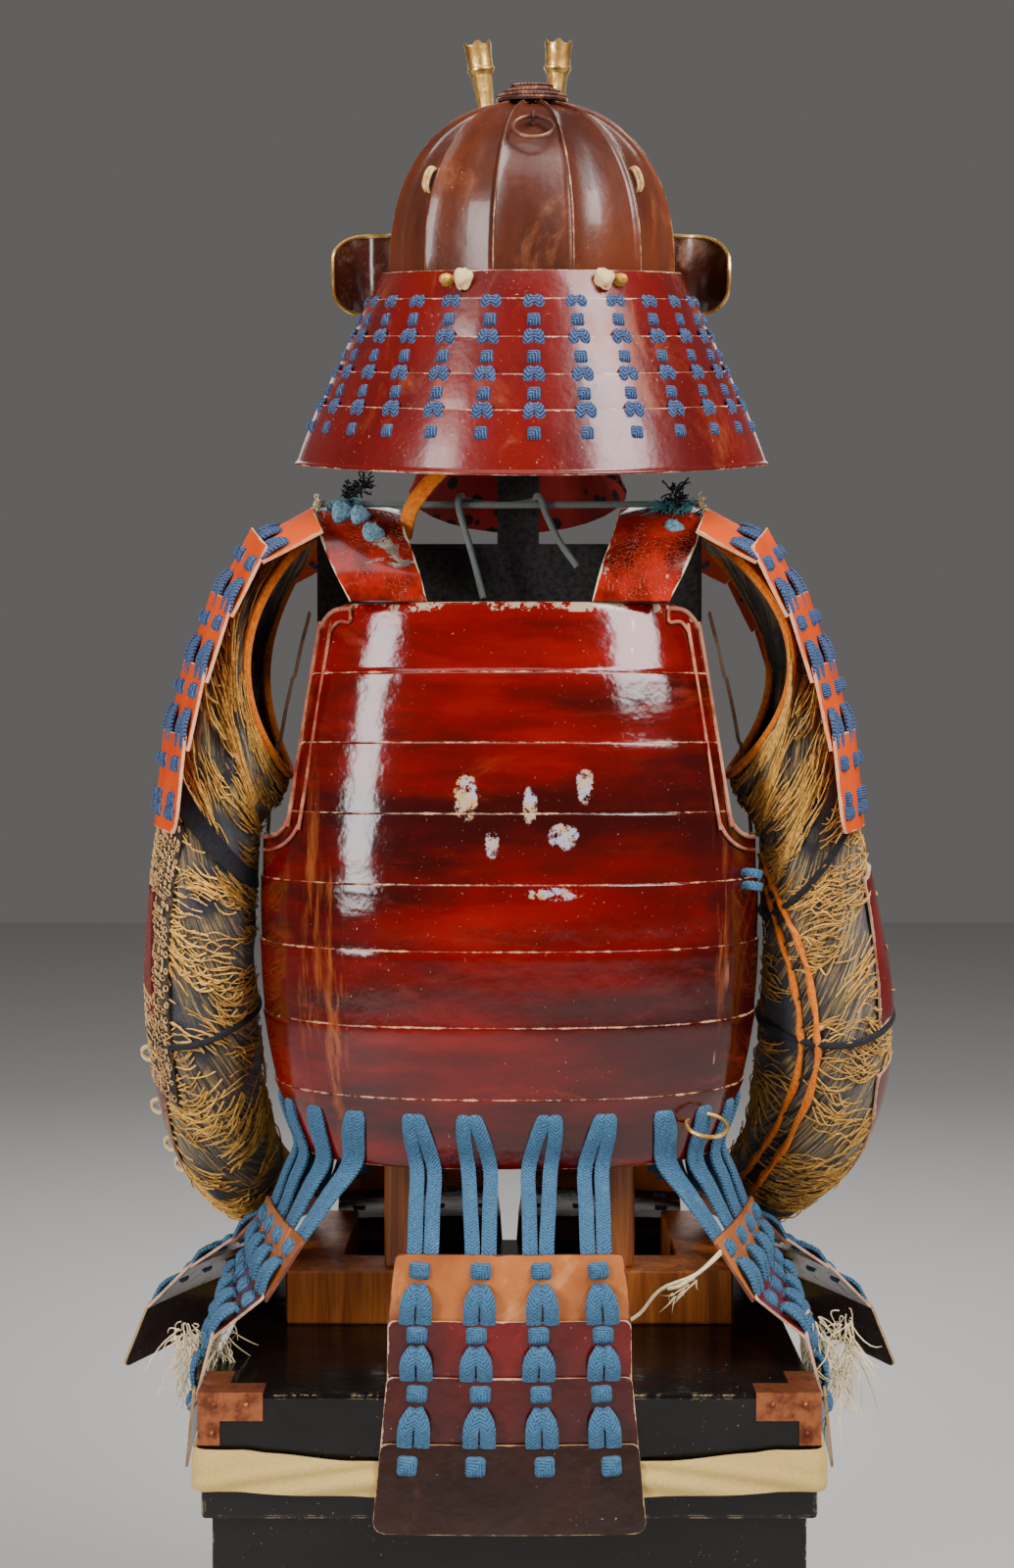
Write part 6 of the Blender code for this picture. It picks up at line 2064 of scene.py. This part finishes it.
# The cord loops at the right seam: where they start, and each one's way across, out and up from there
LOOP_X, LOOP_HEIGHTS = 0.166, (0.822, 0.813)
LOOP_STEPS = (
    (0.0, -0.002, 0.0),
    (0.002, 0.002, 0.0006),
    (0.006, 0.005, 0.0008),
    (0.010, 0.004, 0.0),
    (0.013, 0.0, -0.001),
)
CREAM_STRANDS = (
    ((-0.232, -0.070, 0.498), (0.1, -0.1, -1.0), 0.055, 90, 0.014, 0.0005),
    ((-0.200, -0.090, 0.505), (-0.3, -0.1, -1.0), 0.060, 70, 0.012, 0.0005),
    ((0.240, -0.080, 0.508), (-0.1, -0.1, -1.0), 0.070, 90, 0.012, 0.0005),
    ((0.215, -0.090, 0.512), (0.2, -0.1, -1.0), 0.060, 60, 0.012, 0.0005),
    ((0.130, -0.130, 0.548), (-0.8, -0.1, -0.5), 0.030, 14, 0.002, 0.0005),
    ((-0.141, -0.038, 1.084), (0.2, -0.3, 1.0), 0.012, 26, 0.003, 0.0006),
    ((0.141, -0.038, 1.084), (-0.2, -0.3, 1.0), 0.014, 30, 0.003, 0.0006),
)
LOOSE_CREAM_CORDS = (
    (
        (0.146, -0.122, 0.565), (0.128, -0.130, 0.551), (0.104, -0.128, 0.540),
        (0.090, -0.126, 0.523), (0.078, -0.128, 0.516),
    ),
    ((0.146, -0.121, 0.563), (0.134, -0.132, 0.556), (0.118, -0.134, 0.545), (0.109, -0.130, 0.541)),
)

# Studs on each copper corner: across and down, as shares of its arms, and how far out they sit
STUD_PLACES = ((0.25, 0.22), (0.86, 0.22), (0.22, 0.86))
CORNER_ARM, CORNER_DROP, STUD_OUT, STUD_RADIUS = 0.036, 0.030, 0.0017, 0.0021


def build_corner_studs():
    studs = Shape()
    for sign_x in (-1, 1):
        for face_y, sign_y in ((LID_BACK, -1), (LID_FRONT, 1)):
            for across, down in STUD_PLACES:
                z = LID_TOP - down * CORNER_DROP
                x = sign_x * (LID_WIDTH / 2 - across * CORNER_ARM)
                ball(studs, Vector((x, face_y + sign_y * STUD_OUT, z)), STUD_RADIUS)
                side_x = sign_x * (LID_WIDTH / 2 + STUD_OUT)
                ball(studs, Vector((side_x, face_y - sign_y * across * CORNER_ARM, z)), STUD_RADIUS)
    studs.add("lid_corner_studs", "copper", slot="copper")


# Chest and stand keep their solids, with their own finishes

SOLID_FINISHES = (
    ("black_lacquer", ("chest_body", "chest_lid")),
    ("copper", [f"lid_corner_{end}_{side}" for end in ("back", "front") for side in ("left", "right")]),
    ("wood", ("stand_base", "stand_post_left", "stand_post_right")),
    ("black_felt", ("stand_shoulder_bar", "stand_head_post")),
    ("iron", ("helmet_ring", "helmet_ring_staple")),
    ("gilt", ("helmet_crest",)),
    ("spotted_red", ("throat_guard",)),
)


def dress_solids():
    for finish, nodes in SOLID_FINISHES:
        for node in nodes:
            mesh = bpy.data.objects[node].data
            mesh.materials.clear()
            mesh.materials.append(FINISHES[finish])


# Studio


def build_studio():
    floor_mesh = bpy.data.meshes.new("floor")
    corners = [(x * FLOOR_REACH, y * FLOOR_REACH, 0) for x, y in ((-1, -1), (1, -1), (1, 1), (-1, 1))]
    floor_mesh.from_pydata(corners, [], [(0, 1, 2, 3)])
    floor_mesh.materials.append(Finish("pale floor").done(STUDIO_GREY, FLOOR_ROUGHNESS))
    floor = bpy.data.objects.new("floor", floor_mesh)
    link(floor)

    world = bpy.data.worlds.new("studio")
    world.use_nodes = True
    background = world.node_tree.nodes["Background"]
    background.inputs["Color"].default_value = (*STUDIO_GREY, 1)
    background.inputs["Strength"].default_value = WORLD_STRENGTH
    bpy.context.scene.world = world

    for name, place, energy, size in LIGHTS:
        light = bpy.data.lights.new(name, "AREA")
        light.energy = energy
        light.shape = "RECTANGLE"
        light.size, light.size_y = size
        lamp = bpy.data.objects.new(name, light)
        lamp.location = place
        lamp.rotation_euler = (Vector(LIGHT_AIM) - Vector(place)).to_track_quat("-Z", "Y").to_euler()
        link(lamp)

    camera = bpy.data.cameras.new("camera")
    camera.sensor_width = SENSOR_WIDTH
    camera.lens = FOCAL_PIXELS / PHOTO_HEIGHT * SENSOR_WIDTH
    camera.shift_x = (PHOTO_WIDTH / 2 - PRINCIPAL_X) / PHOTO_HEIGHT
    eye = bpy.data.objects.new("camera", camera)
    eye.location = (0, SLIDE_Y - CAMERA_DISTANCE, CAMERA_HEIGHT)
    pitch = atan((PHOTO_HEIGHT / 2 - HORIZON_Y) / FOCAL_PIXELS)
    eye.rotation_euler = (pi / 2 - pitch, 0, 0)
    link(eye)
    bpy.context.scene.camera = eye


build_cuirass()
build_bowl()
build_crown()
build_neck_guard()
build_turnbacks()
build_visor()
build_shoulder_guards()
for tasset in TASSETS:
    build_tasset(*tasset)
build_sleeves()
build_thigh_guards()
build_belt()
build_cords()
build_helmet_details()
build_shoulder_details()
build_cuirass_details()
build_corner_studs()
dress_solids()
build_studio()
